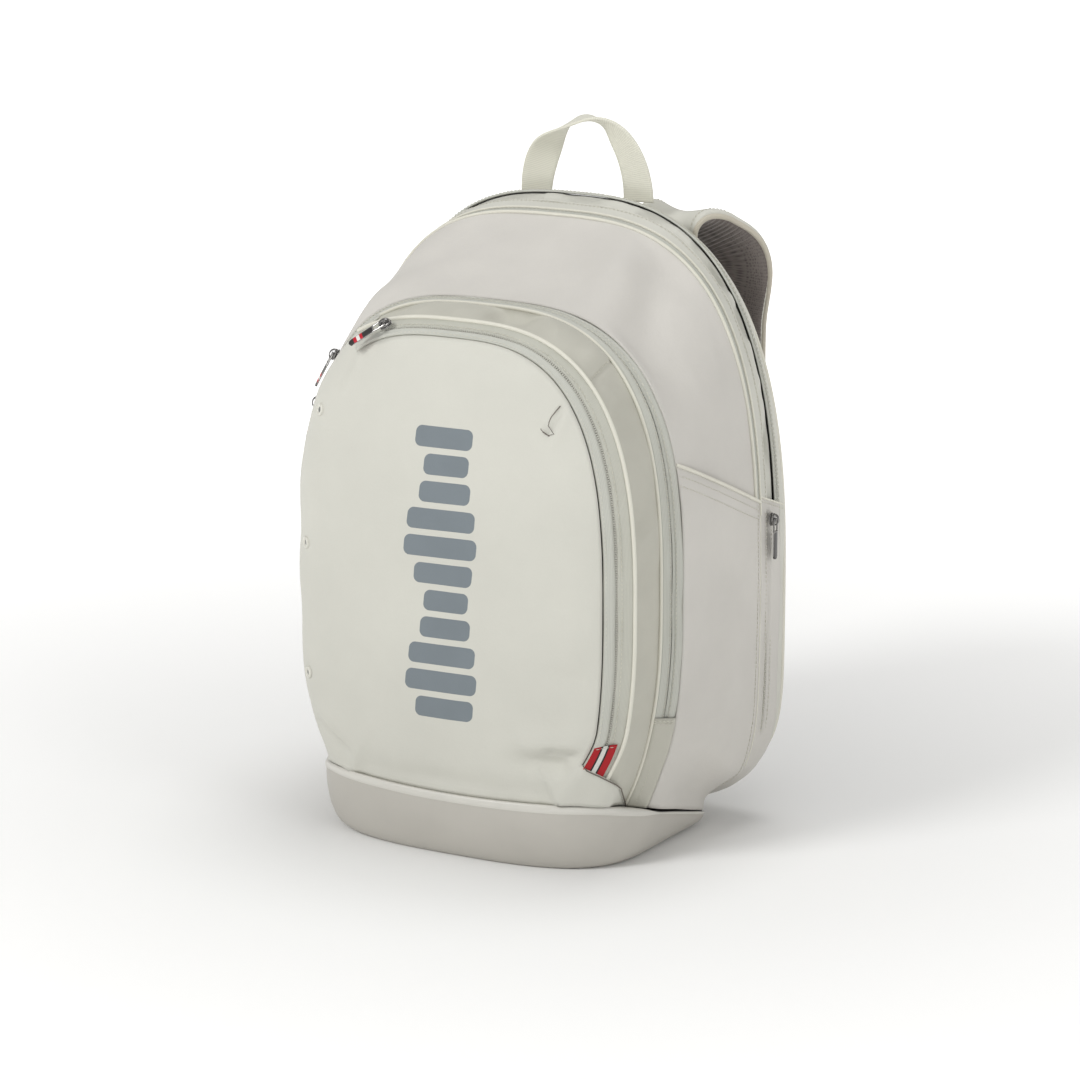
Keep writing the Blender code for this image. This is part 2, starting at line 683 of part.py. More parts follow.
def sliders(metal):
    """Two on the second and main zips, one on each of the others."""
    meshes = slider_mesh(metal), puller_mesh(metal)
    front_depth = (FRONT_EDGE + POCKET_FRONT) / 2
    places = (("front", front_depth, 0.5635, 0.0045), ("second_upper", SECOND_ZIP, 0.656, 0.0030),
              ("second_lower", SECOND_ZIP, 0.699, 0.0030), ("main_upper", MAIN_ZIP, 0.705, 0.0022),
              ("main_lower", MAIN_ZIP, 0.750, 0.0022))
    for name, depth, share, lift in places:
        point, along, normal = surface_frame(depth, share)
        if name == "front":
            along = Matrix.Rotation(FRONT_SLIDER_TURN, 3, normal) @ along
        add_slider(name, zip_frame(point, along, normal, lift), meshes)
    down = Vector((0, 0, -1))
    for name, side, depth, height, lift in (("rear", -1, REAR_ZIP, 0.300, 0.0030),
                                            ("side_right", 1, SIDE_ZIP, 0.238, 0.0030),
                                            ("side_left", -1, SIDE_ZIP, 0.238, 0.0030)):
        point = ring_side(depth, side, height)
        add_slider(name, zip_frame(point, down, Vector((side, 0, 0)), lift), meshes)


# --- handle and straps ----------------------------------------------------------------------
def sweep(name, stations, material):
    """A solid through stations, each a centre, a width vector, a thickness vector and a power."""
    rings = []
    for centre, wide, thick, sides, power in stations:
        line = []
        for j in range(sides):
            angle = 2 * math.pi * (j + 0.5) / sides
            c, s = math.cos(angle), math.sin(angle)
            norm = (abs(c) ** power + abs(s) ** power) ** (1 / power)
            line.append(tuple(centre + wide * (c / norm) + thick * (s / norm)))
        rings.append(line)
    return loft(name, rings, material)


def haul_handle(mat):
    """A loop of webbing whose band makes half a turn from foot to foot."""
    stations = []
    half_width, half_thick = WEBBING_WIDTH / 2, WEBBING_THICK / 2
    for i in range(29):
        t = i / 28
        x = -HANDLE_HALF_SPAN * math.cos(math.pi * t)
        z = HANDLE_BASE[1] + HANDLE_RISE * math.sin(math.pi * t)
        turn = math.radians(np.interp(t, *zip(*HANDLE_TURN)))
        wide = Vector((math.cos(turn), math.sin(turn), 0)) * half_width
        stations.append((Vector((x, HANDLE_BASE[0], z)), wide, t))
    points = [s[0] for s in stations]
    built = []
    for i, (centre, wide, _) in enumerate(stations):
        ahead = (points[min(i + 1, 28)] - points[max(i - 1, 0)]).normalized()
        across = (wide - ahead * wide.dot(ahead)).normalized() * half_width
        thick = ahead.cross(across).normalized() * half_thick
        built.append((centre, across, thick, 4, 60.0))
    sweep("haul_handle", built, mat)


def spline_points(route, count):
    """Points on a Catmull-Rom curve through the route, evenly spaced in its parameter."""
    pts = [2 * Vector(route[0]) - Vector(route[1])] + [Vector(p) for p in route]
    pts.append(2 * Vector(route[-1]) - Vector(route[-2]))
    out = []
    for i in range(count):
        u = i / (count - 1) * (len(route) - 1)
        k = min(int(u), len(route) - 2)
        t = u - k
        a, b, c, d = pts[k:k + 4]
        out.append(0.5 * (2 * b + (c - a) * t + (2 * a - 5 * b + 4 * c - d) * t ** 2
                          + (3 * b - a - 3 * c + d) * t ** 3))
    return out


def strap_points(side):
    """The middle line of a strap, drawn for the right side."""
    drop = LEFT_STRAP_DROP if side < 0 else 0.0
    return spline_points([(x, y, z - drop * share) for (x, y, z), share in zip(STRAP_ROUTE, DROP_SHARES)], 60)


def strap_split(side):
    """The middle of the gap between a strap and its root: its swing's axis starts here."""
    points = strap_points(side)
    along = (STRAP_ROOT_SHARE + STRAP_SPLIT / 2) * (len(points) - 1)
    k = int(along)
    x, y, z = points[k].lerp(points[k + 1], along - k)
    return Vector((side * x, y, z))


def strap_stations(points, start, end, count, side):
    """Stations along the padded strap, from one share of its length to another."""
    last = len(points) - 1
    stations = []
    for i in range(count):
        share = start + (end - start) * i / (count - 1)
        k = min(int(share * last), last - 1)
        t = share * last - k
        centre = points[k].lerp(points[k + 1], t)
        ahead = (points[k + 1] - points[k]).normalized()
        across = Vector((1, 0, 0)) - ahead * ahead.x
        across.normalize()
        narrow = 1 - 0.22 * smoothstep((share - 0.6) / 0.4) - 0.20 * smoothstep((0.16 - share) / 0.16)
        thick = across.cross(ahead).normalized() * STRAP_THICK / 2
        if share < 0.12:
            thick *= 0.7 + 0.3 * share / 0.12
        wide = across * STRAP_WIDTH / 2 * narrow
        mirror = Matrix.Diagonal((side, 1, 1))
        stations.append((mirror @ centre, mirror @ wide, mirror @ thick, 12, 5.0))
    return stations


def slotted_frame(name, pose, material):
    """A ladder lock: a frame with two slots for the webbing."""
    curve = bpy.data.curves.new(name, "CURVE")
    curve.dimensions = "2D"
    curve.fill_mode = "BOTH"
    curve.extrude = LOCK_THICK / 2
    half, rail = LOCK_WIDTH / 2, LOCK_RAIL
    slot = (LOCK_LENGTH - 3 * rail) / 2
    frames = [((-half, 0), (half, LOCK_LENGTH))]
    for i in range(2):
        low = rail + i * (slot + rail)
        frames.append(((-half + rail, low), (half - rail, low + slot)))
    for (x0, y0), (x1, y1) in frames:
        spline = curve.splines.new("POLY")
        spline.points.add(3)
        for point, (x, y) in zip(spline.points, ((x0, y0), (x1, y0), (x1, y1), (x0, y1))):
            point.co = (x, y, 0, 1)
        spline.use_cyclic_u = True
    source = bpy.data.objects.new(name + "_outline", curve)
    collection("cutters").objects.link(source)
    mesh = bpy.data.meshes.new_from_object(source.evaluated_get(bpy.context.evaluated_depsgraph_get()))
    bm = bmesh.new()
    bm.from_mesh(mesh)
    bmesh.ops.remove_doubles(bm, verts=bm.verts, dist=1e-6)
    bmesh.ops.transform(bm, matrix=pose, verts=bm.verts)
    bmesh.ops.recalc_face_normals(bm, faces=bm.faces)
    bm.to_mesh(mesh)
    bm.free()
    bpy.data.objects.remove(source)
    mesh.materials.clear()
    mesh.materials.append(material)
    return place(name, mesh, material)


def shoulder_straps(pad, webbing, plastic):
    for side, word in ((1, "right"), (-1, "left")):
        points = strap_points(side)
        mirror = Matrix.Diagonal((side, 1, 1))
        sweep("strap_root_" + word, strap_stations(points, 0.0, STRAP_ROOT_SHARE, 4, side), pad)
        sweep("shoulder_strap_" + word,
              strap_stations(points, STRAP_ROOT_SHARE + STRAP_SPLIT, 1.0, 22, side), pad)
        end = points[-1]
        ahead = (points[-1] - points[-2]).normalized()
        across = (Vector((1, 0, 0)) - ahead * ahead.x).normalized()
        normal = across.cross(ahead).normalized()
        pose = Matrix((mirror @ across, mirror @ ahead, mirror @ normal)).transposed().to_4x4()
        pose.translation = mirror @ (end + ahead * 0.0008)
        slotted_frame("ladder_lock_" + word, pose, plastic)
        lower = end + ahead * LOWER_WEBBING_START
        anchor = Vector(STRAP_ANCHOR) + Vector((0, 0.0022, 0.0))
        stations = []
        for i in range(5):
            t = i / 4
            centre = lower.lerp(anchor, t) + Vector((0, LOWER_WEBBING_SLACK, 0)) * math.sin(math.pi * t)
            direction = (anchor - lower).normalized()
            wide = (Vector((1, 0, 0)) - direction * direction.x).normalized() * LOWER_WEBBING_WIDTH / 2
            thick = wide.cross(direction).normalized() * LOWER_WEBBING_THICK / 2
            stations.append((mirror @ centre, mirror @ wide, mirror @ thick, 4, 60.0))
        sweep("strap_webbing_" + word, stations, webbing)
        anchor_tab(word, side, webbing)


def anchor_tab(word, side, mat):
    """A folded tab sewn to the back's lower corner, which holds the strap's webbing."""
    x, y, z = STRAP_ANCHOR
    outline = ((0.018, -0.026), (0.011, 0.006), (-0.013, 0.006), (-0.020, -0.020))
    rings = [[(side * (x + dx), depth, z + dz) for dx, dz in outline] for depth in (y - 0.0046, y - 0.0024)]
    loft("strap_anchor_" + word, rings, mat)


# --- joints ---------------------------------------------------------------------------------
def pivot(name, point, nodes):
    """An empty on a joint's axis, which carries the nodes that turn about it."""
    empty = bpy.data.objects.new(name, None)
    empty.location = point
    collection("racket_backpack").objects.link(empty)
    for node in nodes:
        obj = bpy.data.objects[node]
        obj.parent = empty
        obj.matrix_parent_inverse = Matrix.Translation(point).inverted()
    return empty


def pivots():
    pivot("main_flap_axis", (0, *FLAP_AXIS), ["main_flap"])
    fold = pivot("front_panel_fold", ((FOLD_TOP[0] + FOLD_LOW[0]) / 2, FOLD_AXIS_DEPTH,
                                      (FOLD_TOP[1] + FOLD_LOW[1]) / 2), ["front_panel_upper"])
    pocket = ["front_panel_lower", "front_zip_tape", "front_gusset", "front_wrap", "front_pocket_back",
              "second_zip_tape_front", "vent_eyelet_1", "vent_eyelet_2", "vent_eyelet_3",
              "ribbon_trim", "slider_front", fold.name]
    pivot("front_pocket_axis", (0, *POCKET_AXIS), pocket)
    pivot("handle_axis", (0, *HANDLE_BASE), ["haul_handle"])
    for side, word in ((1, "right"), (-1, "left")):
        parts = ("shoulder_strap_", "ladder_lock_", "strap_webbing_")
        pivot("strap_axis_" + word, strap_split(side), [part + word for part in parts])


def build():
    clear_scene()
    fabric = principled("coated_fabric", (0.68, 0.67, 0.61), 0.62)
    panel = principled("main_fabric", (0.66, 0.64, 0.60), 0.64)
    moulded = principled("moulded_base", (0.58, 0.56, 0.52), 0.5)
    tape = principled("zip_tape", (0.60, 0.59, 0.53), 0.75)
    lining = principled("lining", (0.30, 0.29, 0.27), 0.8)
    mesh_cloth = principled("air_mesh", (0.13, 0.11, 0.10), 0.9)
    board = principled("frame_board", (0.75, 0.75, 0.74), 0.45)
    metal = principled("slider_metal", (0.20, 0.19, 0.18), 0.35, 0.9)
    plastic = principled("buckle_plastic", (0.62, 0.60, 0.54), 0.5)
    webbing = principled("webbing", (0.70, 0.69, 0.60), 0.8)
    ribbon = principled("ribbon", (0.45, 0.01, 0.01), 0.7)
    base_boot(moulded)
    main_sides(panel)
    main_flap(panel)
    side_pockets(panel)
    rear_body(panel, tape, fabric)
    back_panel(fabric, board, mesh_cloth)
    inner_panels(lining, mesh_cloth)
    front_pocket(fabric, tape, lining, metal, ribbon)
    side_zips(tape)
    sliders(metal)
    haul_handle(webbing)
    shoulder_straps(mesh_cloth, webbing, plastic)
    pivots()


build()
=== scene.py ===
"""The racket backpack's looks: sewn fabric skins, zips, piping, straps and materials on the CAD frame."""

import json
import math

import bmesh
import bpy
import numpy as np
from mathutils import Matrix, Vector, noise
from mathutils.bvhtree import BVHTree

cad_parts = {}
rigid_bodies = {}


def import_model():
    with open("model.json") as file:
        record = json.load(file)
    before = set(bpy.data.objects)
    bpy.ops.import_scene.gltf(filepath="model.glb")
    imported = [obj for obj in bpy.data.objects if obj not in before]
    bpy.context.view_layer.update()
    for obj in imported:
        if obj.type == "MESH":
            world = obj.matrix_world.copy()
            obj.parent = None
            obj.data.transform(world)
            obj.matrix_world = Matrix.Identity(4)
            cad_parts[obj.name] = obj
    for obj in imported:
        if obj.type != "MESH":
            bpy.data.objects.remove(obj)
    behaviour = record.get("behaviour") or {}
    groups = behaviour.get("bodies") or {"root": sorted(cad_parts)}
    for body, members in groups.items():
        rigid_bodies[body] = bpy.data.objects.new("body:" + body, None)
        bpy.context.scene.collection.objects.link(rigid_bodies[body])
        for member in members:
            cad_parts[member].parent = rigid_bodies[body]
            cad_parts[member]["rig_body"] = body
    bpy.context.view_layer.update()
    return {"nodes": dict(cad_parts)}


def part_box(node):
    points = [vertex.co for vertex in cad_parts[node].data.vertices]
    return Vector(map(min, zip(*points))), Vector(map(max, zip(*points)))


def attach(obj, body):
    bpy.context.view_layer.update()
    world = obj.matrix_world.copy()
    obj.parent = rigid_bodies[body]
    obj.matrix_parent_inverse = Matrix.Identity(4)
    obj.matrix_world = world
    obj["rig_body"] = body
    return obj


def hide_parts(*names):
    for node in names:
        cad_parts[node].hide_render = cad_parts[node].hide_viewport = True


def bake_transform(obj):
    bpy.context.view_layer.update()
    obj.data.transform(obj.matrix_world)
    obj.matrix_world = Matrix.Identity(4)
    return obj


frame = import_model()

BODY_CENTRE = np.array((0.0, 0.0, 0.22))

# --- the bag's outline, as in the CAD ---------------------------------------------------------
# Depth, half width, widest height, top, virtual bottom, exponents above and below the widest.
SECTIONS = (
    (-0.100, 0.124, 0.190, 0.388, -0.020, 3.0, 2.5),
    (-0.088, 0.144, 0.190, 0.399, -0.020, 2.9, 2.4),
    (-0.052, 0.146, 0.190, 0.404, -0.030, 3.0, 2.3),
    (-0.038, 0.157, 0.190, 0.406, -0.035, 3.0, 2.4),
    (0.055, 0.170, 0.175, 0.454, 0.002, 3.0, 4.4),
    (0.085, 0.1725, 0.170, 0.467, 0.012, 2.8, 5.0),
    (0.100, 0.1735, 0.170, 0.462, 0.024, 2.7, 5.0),
)
FRONT_EDGE, POCKET_FRONT, POCKET_BACK, MAIN_FRONT, MAIN_BACK = (row[0] for row in SECTIONS[:5])
BOOT_HALF_WIDTH = 0.135
BOOT_FRONT, BOOT_BACK = -0.110, 0.062
BOOT_CENTRE = (BOOT_FRONT + BOOT_BACK) / 2
BOOT_HALF_DEPTH = (BOOT_BACK - BOOT_FRONT) / 2
BOOT_SQUARE = 12.0
RIM_HEIGHT, RIM_SLOPE, RIM_DIP, RIM_GAP = 0.052, 0.30, 0.010, 0.0012
RIM_BLEND = (0.060, 0.036)      # the fabric flows to the rim over this height, in front and at the back
RIM_LIP = 0.0025        # the fabric stands at least this far inside the base's rim
PANEL_BULGE = -0.1135
ZIP1_START = 0.594
FOLD_TOP, FOLD_LOW = (-0.088, 0.400), (0.130, 0.068)    # x and z of the front panel's fold line
HEM_FRONT, HEM_BACK = 0.299, 0.256
POCKET_DEPTH = 0.0095
SIDE_SEAM_Z = 0.257     # the side panel behind the pocket ends here, and the gusset starts
SIDE_SEAM_SLOPE = 0.37
REAR_ZIP_DEPTH, SIDE_ZIP_DEPTH = 0.0874, 0.0733
SIDE_COIL = (0.074, 0.246)      # heights between which the side zips' coils show
BAND_TOP = 0.112        # a plain band closes the second zip below this height
RIBBON_TOP = 0.1015
LINE_POINTS = 801


def smoothstep(t):
    t = np.clip(t, 0.0, 1.0)
    return t * t * (3 - 2 * t)


def section(y):
    depths = [row[0] for row in SECTIONS]
    return [float(np.interp(y, depths, [row[i] for row in SECTIONS])) for i in range(1, 7)]


def boot_half_width(y):
    share = min(abs(y - BOOT_CENTRE) / BOOT_HALF_DEPTH, 1.0)
    power = 3.0 if y < BOOT_CENTRE else BOOT_SQUARE
    return BOOT_HALF_WIDTH * (1 - share ** power) ** (1 / power)


def boot_front(x):
    share = min(abs(x) / BOOT_HALF_WIDTH, 1.0)
    return BOOT_CENTRE - BOOT_HALF_DEPTH * (1 - share ** 3) ** (1 / 3)


def rim_height(x, y):
    dip = RIM_DIP * (1 - min(abs(x) / BOOT_HALF_WIDTH, 1.0) ** 2)
    front = min(max((-y - 0.050) / 0.050, 0.0), 1.0)
    return RIM_HEIGHT - RIM_SLOPE * (y + 0.085) - dip * front


def resample(points, count):
    pts = np.array(points, dtype=float)
    steps = np.sqrt((np.diff(pts, axis=0) ** 2).sum(1))
    along = np.concatenate([[0.0], np.cumsum(steps)])
    want = np.linspace(0.0, along[-1], count)
    return np.stack([np.interp(want, along, pts[:, i]) for i in range(pts.shape[1])], 1)


def run_along(points):
    """How far along a line each of its points lies."""
    return np.concatenate([[0.0], np.cumsum(np.linalg.norm(np.diff(points, axis=0), axis=1))])


def unit_rows(rows):
    return rows / np.linalg.norm(rows, axis=1, keepdims=True)


def half_profile(y, low=None):
    """The right half of the outline at depth y as x and z, cut off below a height."""
    half_width, wide, top, bottom, upper, lower = section(y)
    angles = np.linspace(-math.pi / 2, math.pi / 2, 961)
    power = np.where(angles >= 0, upper, lower)
    reach = np.where(angles >= 0, top - wide, wide - bottom)
    x = half_width * np.abs(np.cos(angles)) ** (2 / power)
    z = wide + np.sign(angles) * reach * np.abs(np.sin(angles)) ** (2 / power)
    x[-1] = 0.0
    if low is None:
        x[0] = 0.0
        return np.stack([x, z], 1)
    start = np.array([[float(np.interp(low, z, x)), low]])
    keep = z > low + 1e-6
    return np.concatenate([start, np.stack([x[keep], z[keep]], 1)])


def fabric_half(y):
    rim_x = boot_half_width(y)
    low = rim_height(rim_x, y) + RIM_GAP
    half = half_profile(y, low)
    blend = RIM_BLEND[0] + (RIM_BLEND[1] - RIM_BLEND[0]) * smoothstep(y / 0.05)
    flow = smoothstep(1 - (half[:, 1] - low) / blend)
    x = half[:, 0].copy()
    front = x + min(rim_x - RIM_LIP - x[0], 0.0) * flow
    back = x + (rim_x - RIM_LIP - x) * flow
    half[:, 0] = front + (back - front) * smoothstep((y + 0.050) / 0.055)
    return half


lines = {}


def outline(y, closed=False):
    """The outline at depth y, evenly spaced: an arch from the right rim over the top, or a ring."""
    key = (round(float(y), 5), closed)
    if key not in lines:
        half = half_profile(y) if closed else fabric_half(y)
        whole = np.concatenate([half, half[::-1][1:] * np.array([-1.0, 1.0])])
        lines[key] = resample(whole, LINE_POINTS)
    return lines[key]


def on_outline(y, shares, closed=False):
    """Points at depth y for shares of the outline's length; a ring's shares wrap round."""
    line = outline(y, closed)
    shares = np.mod(shares, 1.0) if closed else shares
    at = np.linspace(0, 1, LINE_POINTS)
    x, z = np.interp(shares, at, line[:, 0]), np.interp(shares, at, line[:, 1])
    return np.stack([x, np.full(len(x), y), z], 1)


def arch_grid(depths, shares):
    return np.array([on_outline(y, np.asarray(shares)) for y in depths])


def hem_height(y):
    share = (y - MAIN_FRONT) / (MAIN_BACK - MAIN_FRONT)
    return HEM_FRONT + (HEM_BACK - HEM_FRONT) * share


def side_seam_z(y):
    return SIDE_SEAM_Z - SIDE_SEAM_SLOPE * (y - BOOT_BACK)


# --- mesh helpers ----------------------------------------------------------------------------
def grid_normals(grid, centre=BODY_CENTRE):
    """Unit normals of a grid of points, on the side away from the bag's middle."""
    normal = np.cross(np.gradient(grid, axis=1), np.gradient(grid, axis=0))
    normal /= np.maximum(np.linalg.norm(normal, axis=2, keepdims=True), 1e-12)
    if (normal * (grid - centre)).sum() < 0:
        normal = -normal
    return normal


def ripple(grid, scale, seed=0.0, stretch=(1, 1, 1)):
    """Smooth noise from -1 to 1 at each point of a grid."""
    flat = grid.reshape(-1, 3) * np.array(stretch) * scale
    out = [noise.noise((x + seed, y - seed, z + 2 * seed)) for x, y, z in flat]
    return np.clip(np.array(out) * 2.8, -1, 1).reshape(grid.shape[:-1])


class Builder:
    """Collects vertices, faces, material numbers and UVs, in metres, for one object."""

    def __init__(self):
        self.verts, self.faces, self.mats, self.uvs = [], [], [], []

    def add(self, verts, faces, mat=0, uvs=None):
        base = len(self.verts)
        self.verts.extend(tuple(map(float, v)) for v in verts)
        for i, face in enumerate(faces):
            self.faces.append(tuple(base + k for k in face))
            self.mats.append(mat if np.isscalar(mat) else int(mat[i]))
            self.uvs.extend((0.0, 0.0) if uvs is None else tuple(uvs[k]) for k in face)

    def grid(self, grid, mat=0, close_u=False, uvs=None):
        rows, cols = grid.shape[:2]
        if uvs is None:
            uvs = metre_uvs(grid)
        faces, mats = [], []
        for i in range(rows - 1):
            for j in range(cols if close_u else cols - 1):
                k = (j + 1) % cols
                faces.append((i * cols + j, i * cols + k, (i + 1) * cols + k, (i + 1) * cols + j))
                mats.append(mat if np.isscalar(mat) else mat[i])
        self.add(grid.reshape(-1, 3), faces, mats, uvs.reshape(-1, 2))

    def tube(self, points, radius, mat=0, sides=8, closed=False, cap=True):
        points = np.asarray(points, float)
        count = len(points)
        ahead = (np.roll(points, -1, 0) - np.roll(points, 1, 0)) if closed else np.gradient(points, axis=0)
        ahead /= np.maximum(np.linalg.norm(ahead, axis=1, keepdims=True), 1e-12)
        up = np.array((0.3, 0.2, 0.93))
        radii = np.broadcast_to(radius, (count,))
        rings, run = [], 0.0
        uvs = []
        for i in range(count):
            up = up - ahead[i] * (up @ ahead[i])
            up /= np.linalg.norm(up)
            side = np.cross(ahead[i], up)
            run += 0.0 if i == 0 else float(np.linalg.norm(points[i] - points[i - 1]))
            turn = [2 * math.pi * k / sides for k in range(sides)]
            rings.append([points[i] + radii[i] * (math.cos(a) * up + math.sin(a) * side) for a in turn])
            uvs.append([(a * float(radii[i]), run) for a in turn])
        self.ring_faces(np.array(rings), mat, np.array(uvs), closed, cap)

    def ring_faces(self, rings, mat, uvs, closed=False, cap=True):
        count, sides = rings.shape[:2]
        faces = []
        for i in range(count if closed else count - 1):
            n = (i + 1) % count
            for k in range(sides):
                m = (k + 1) % sides
                faces.append((i * sides + k, n * sides + k, n * sides + m, i * sides + m))
        if cap and not closed:
            faces.append(tuple(range(sides)))
            faces.append(tuple((count - 1) * sides + k for k in reversed(range(sides))))
        self.add(rings.reshape(-1, 3), faces, mat, uvs.reshape(-1, 2))

    def block(self, centre, axes, size, mat=0):
        """A box with its middle, its three unit axes and its size along them."""
        corners = []
        for i in (-0.5, 0.5):
            for j in (-0.5, 0.5):
                for k in (-0.5, 0.5):
                    corners.append(np.asarray(centre) + axes[0] * i * size[0] + axes[1] * j * size[1]
                                   + axes[2] * k * size[2])
        faces = ((0, 1, 3, 2), (4, 6, 7, 5), (0, 4, 5, 1), (2, 3, 7, 6), (0, 2, 6, 4), (1, 5, 7, 3))
        self.add(corners, faces, mat)

    def make(self, name, materials, recalc=False, merge=0.0):
        mesh = bpy.data.meshes.new(name)
        mesh.from_pydata(self.verts, [], self.faces)
        for mat in materials:
            mesh.materials.append(mat)
        mesh.polygons.foreach_set("material_index", np.array(self.mats, np.int32))
        layer = mesh.uv_layers.new(name="metres")
        layer.data.foreach_set("uv", np.array(self.uvs, np.float32).ravel())
        mesh.polygons.foreach_set("use_smooth", np.ones(len(self.faces), bool))
        if recalc or merge:
            bm = bmesh.new()
            bm.from_mesh(mesh)
            if merge:
                bmesh.ops.remove_doubles(bm, verts=bm.verts, dist=merge)
            if recalc:
                bmesh.ops.recalc_face_normals(bm, faces=bm.faces)
            bm.to_mesh(mesh)
            bm.free()
        mesh.update()
        obj = bpy.data.objects.new(name, mesh)
        bpy.context.scene.collection.objects.link(obj)
        return obj


def metre_uvs(grid):
    """UVs in metres: u along the columns, v along the rows."""
    du = np.linalg.norm(np.diff(grid, axis=1), axis=2).mean(0)
    dv = np.linalg.norm(np.diff(grid, axis=0), axis=2).mean(1)
    u = np.concatenate([[0.0], np.cumsum(du)])
    v = np.concatenate([[0.0], np.cumsum(dv)])
    return np.stack(np.meshgrid(u, v), 2)


def outwards(obj, centre=BODY_CENTRE):
    """Turns an open sheet's faces away from a point."""
    total = sum((p.center - Vector(centre)).dot(p.normal) * p.area for p in obj.data.polygons)
    if total < 0:
        obj.data.flip_normals()
    return obj


def thicken(obj, thickness, inner_slot):
    mod = obj.modifiers.new("thickness", "SOLIDIFY")
    mod.thickness = thickness
    mod.offset = -1.0
    mod.material_offset = inner_slot
    mod.material_offset_rim = 0
    return obj


def skin(name, grid, body, replaced, materials, height=None, thickness=0.0014,
         mats=0, close_u=False, centre=BODY_CENTRE, uvs=None):
    """A sewn panel: a grid of points, moved by height along its normals, with a lined inside."""
    if height is not None:
        grid = grid + grid_normals(grid, centre) * np.broadcast_to(height, grid.shape[:2])[..., None]
    made = Builder()
    made.grid(grid, mats, close_u, uvs)
    obj = outwards(made.make(name, [*materials, LINING]), centre)
    thicken(obj, thickness, len(materials))
    finish_piece(obj, body, replaced)
    return obj, grid


def finish_piece(obj, body, replaced=()):
    if body:
        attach(obj, body)
    if replaced:
        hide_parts(*replaced)
    return obj


# --- materials -------------------------------------------------------------------------------
class Nodes:
    """A short way to wire shader nodes."""

    def __init__(self, name, roughness, metallic=0.0, **sockets):
        self.mat = bpy.data.materials.new(name)
        self.mat.use_nodes = True
        self.tree = self.mat.node_tree
        self.shader = self.tree.nodes["Principled BSDF"]
        self.shader.inputs["Roughness"].default_value = roughness
        self.shader.inputs["Metallic"].default_value = metallic
        for key, value in sockets.items():
            self.shader.inputs[key.replace("_", " ")].default_value = value

    def node(self, kind, **props):
        made = self.tree.nodes.new(kind)
        for key, value in props.items():
            setattr(made, key, value)
        return made

    def link(self, source, target):
        if isinstance(source, (int, float)):
            target.default_value = source
        else:
            self.tree.links.new(source, target)

    def maths(self, operation, a, b=0.0, c=0.0):
        made = self.node("ShaderNodeMath", operation=operation)
        for value, socket in zip((a, b, c), made.inputs):
            self.link(value, socket)
        return made.outputs[0]

    def coords(self, which="Object"):
        return self.node("ShaderNodeTexCoord").outputs[which]

    def noise(self, scale, detail=2.0, rough=0.5, vector=None, stretch=None):
        vector = vector or self.coords()
        if stretch:
            mapping = self.node("ShaderNodeMapping")
            mapping.inputs["Scale"].default_value = stretch
            self.link(vector, mapping.inputs["Vector"])
            vector = mapping.outputs[0]
        made = self.node("ShaderNodeTexNoise")
        made.inputs["Scale"].default_value = scale
        made.inputs["Detail"].default_value = detail
        made.inputs["Roughness"].default_value = rough
        self.link(vector, made.inputs["Vector"])
        return made.outputs["Fac"]

    def mix(self, factor, a, b):
        made = self.node("ShaderNodeMix", data_type="RGBA")
        self.link(factor, made.inputs[0])
        for value, socket in ((a, made.inputs[6]), (b, made.inputs[7])):
            if isinstance(value, tuple):
                socket.default_value = (*value, 1.0)
            else:
                self.link(value, socket)
        return made.outputs[2]

    def ramp(self, value, low, high):
        made = self.node("ShaderNodeMapRange")
        self.link(value, made.inputs["Value"])
        made.inputs["From Min"].default_value = low
        made.inputs["From Max"].default_value = high
        return made.outputs[0]

    def colour(self, value):
        if isinstance(value, tuple):
            self.shader.inputs["Base Color"].default_value = (*value, 1.0)
        else:
            self.link(value, self.shader.inputs["Base Color"])
        return self

    def bumps(self, *layers):
        """Each layer is a height, a strength and a distance in metres."""
        normal = None
        for height, strength, distance in layers:
            made = self.node("ShaderNodeBump")
            made.inputs["Strength"].default_value = strength
            made.inputs["Distance"].default_value = distance
            self.link(height, made.inputs["Height"])
            if normal:
                self.link(normal, made.inputs["Normal"])
            normal = made.outputs[0]
        self.link(normal, self.shader.inputs["Normal"])
        return self


def shade(colour, factor):
    return tuple(min(c * factor, 1.0) for c in colour)


def coated(name, colour, roughness=0.58, grain=0.30, blotch=0.045):
    """Coated cloth: a fine pebble grain, faint mottling and slightly darker rubbed patches."""
    n = Nodes(name, roughness, Sheen_Weight=0.06, Specular_IOR_Level=0.35)
    blotches = n.ramp(n.noise(11.0, 4.0, 0.6), 0.3, 0.7)
    fine = n.noise(900.0, 2.0, 0.6)
    base = n.mix(blotches, shade(colour, 1 - blotch), shade(colour, 1 + blotch * 0.5))
    n.colour(n.mix(n.ramp(fine, 0.25, 0.75), n.mix(0.10, base, shade(colour, 0.80)), base))
    pebble = n.noise(420.0, 3.0, 0.55)
    weave = n.noise(1500.0, 1.0, 0.5)
    return n.bumps((pebble, grain, 0.00035), (weave, grain * 0.6, 0.00015)).mat


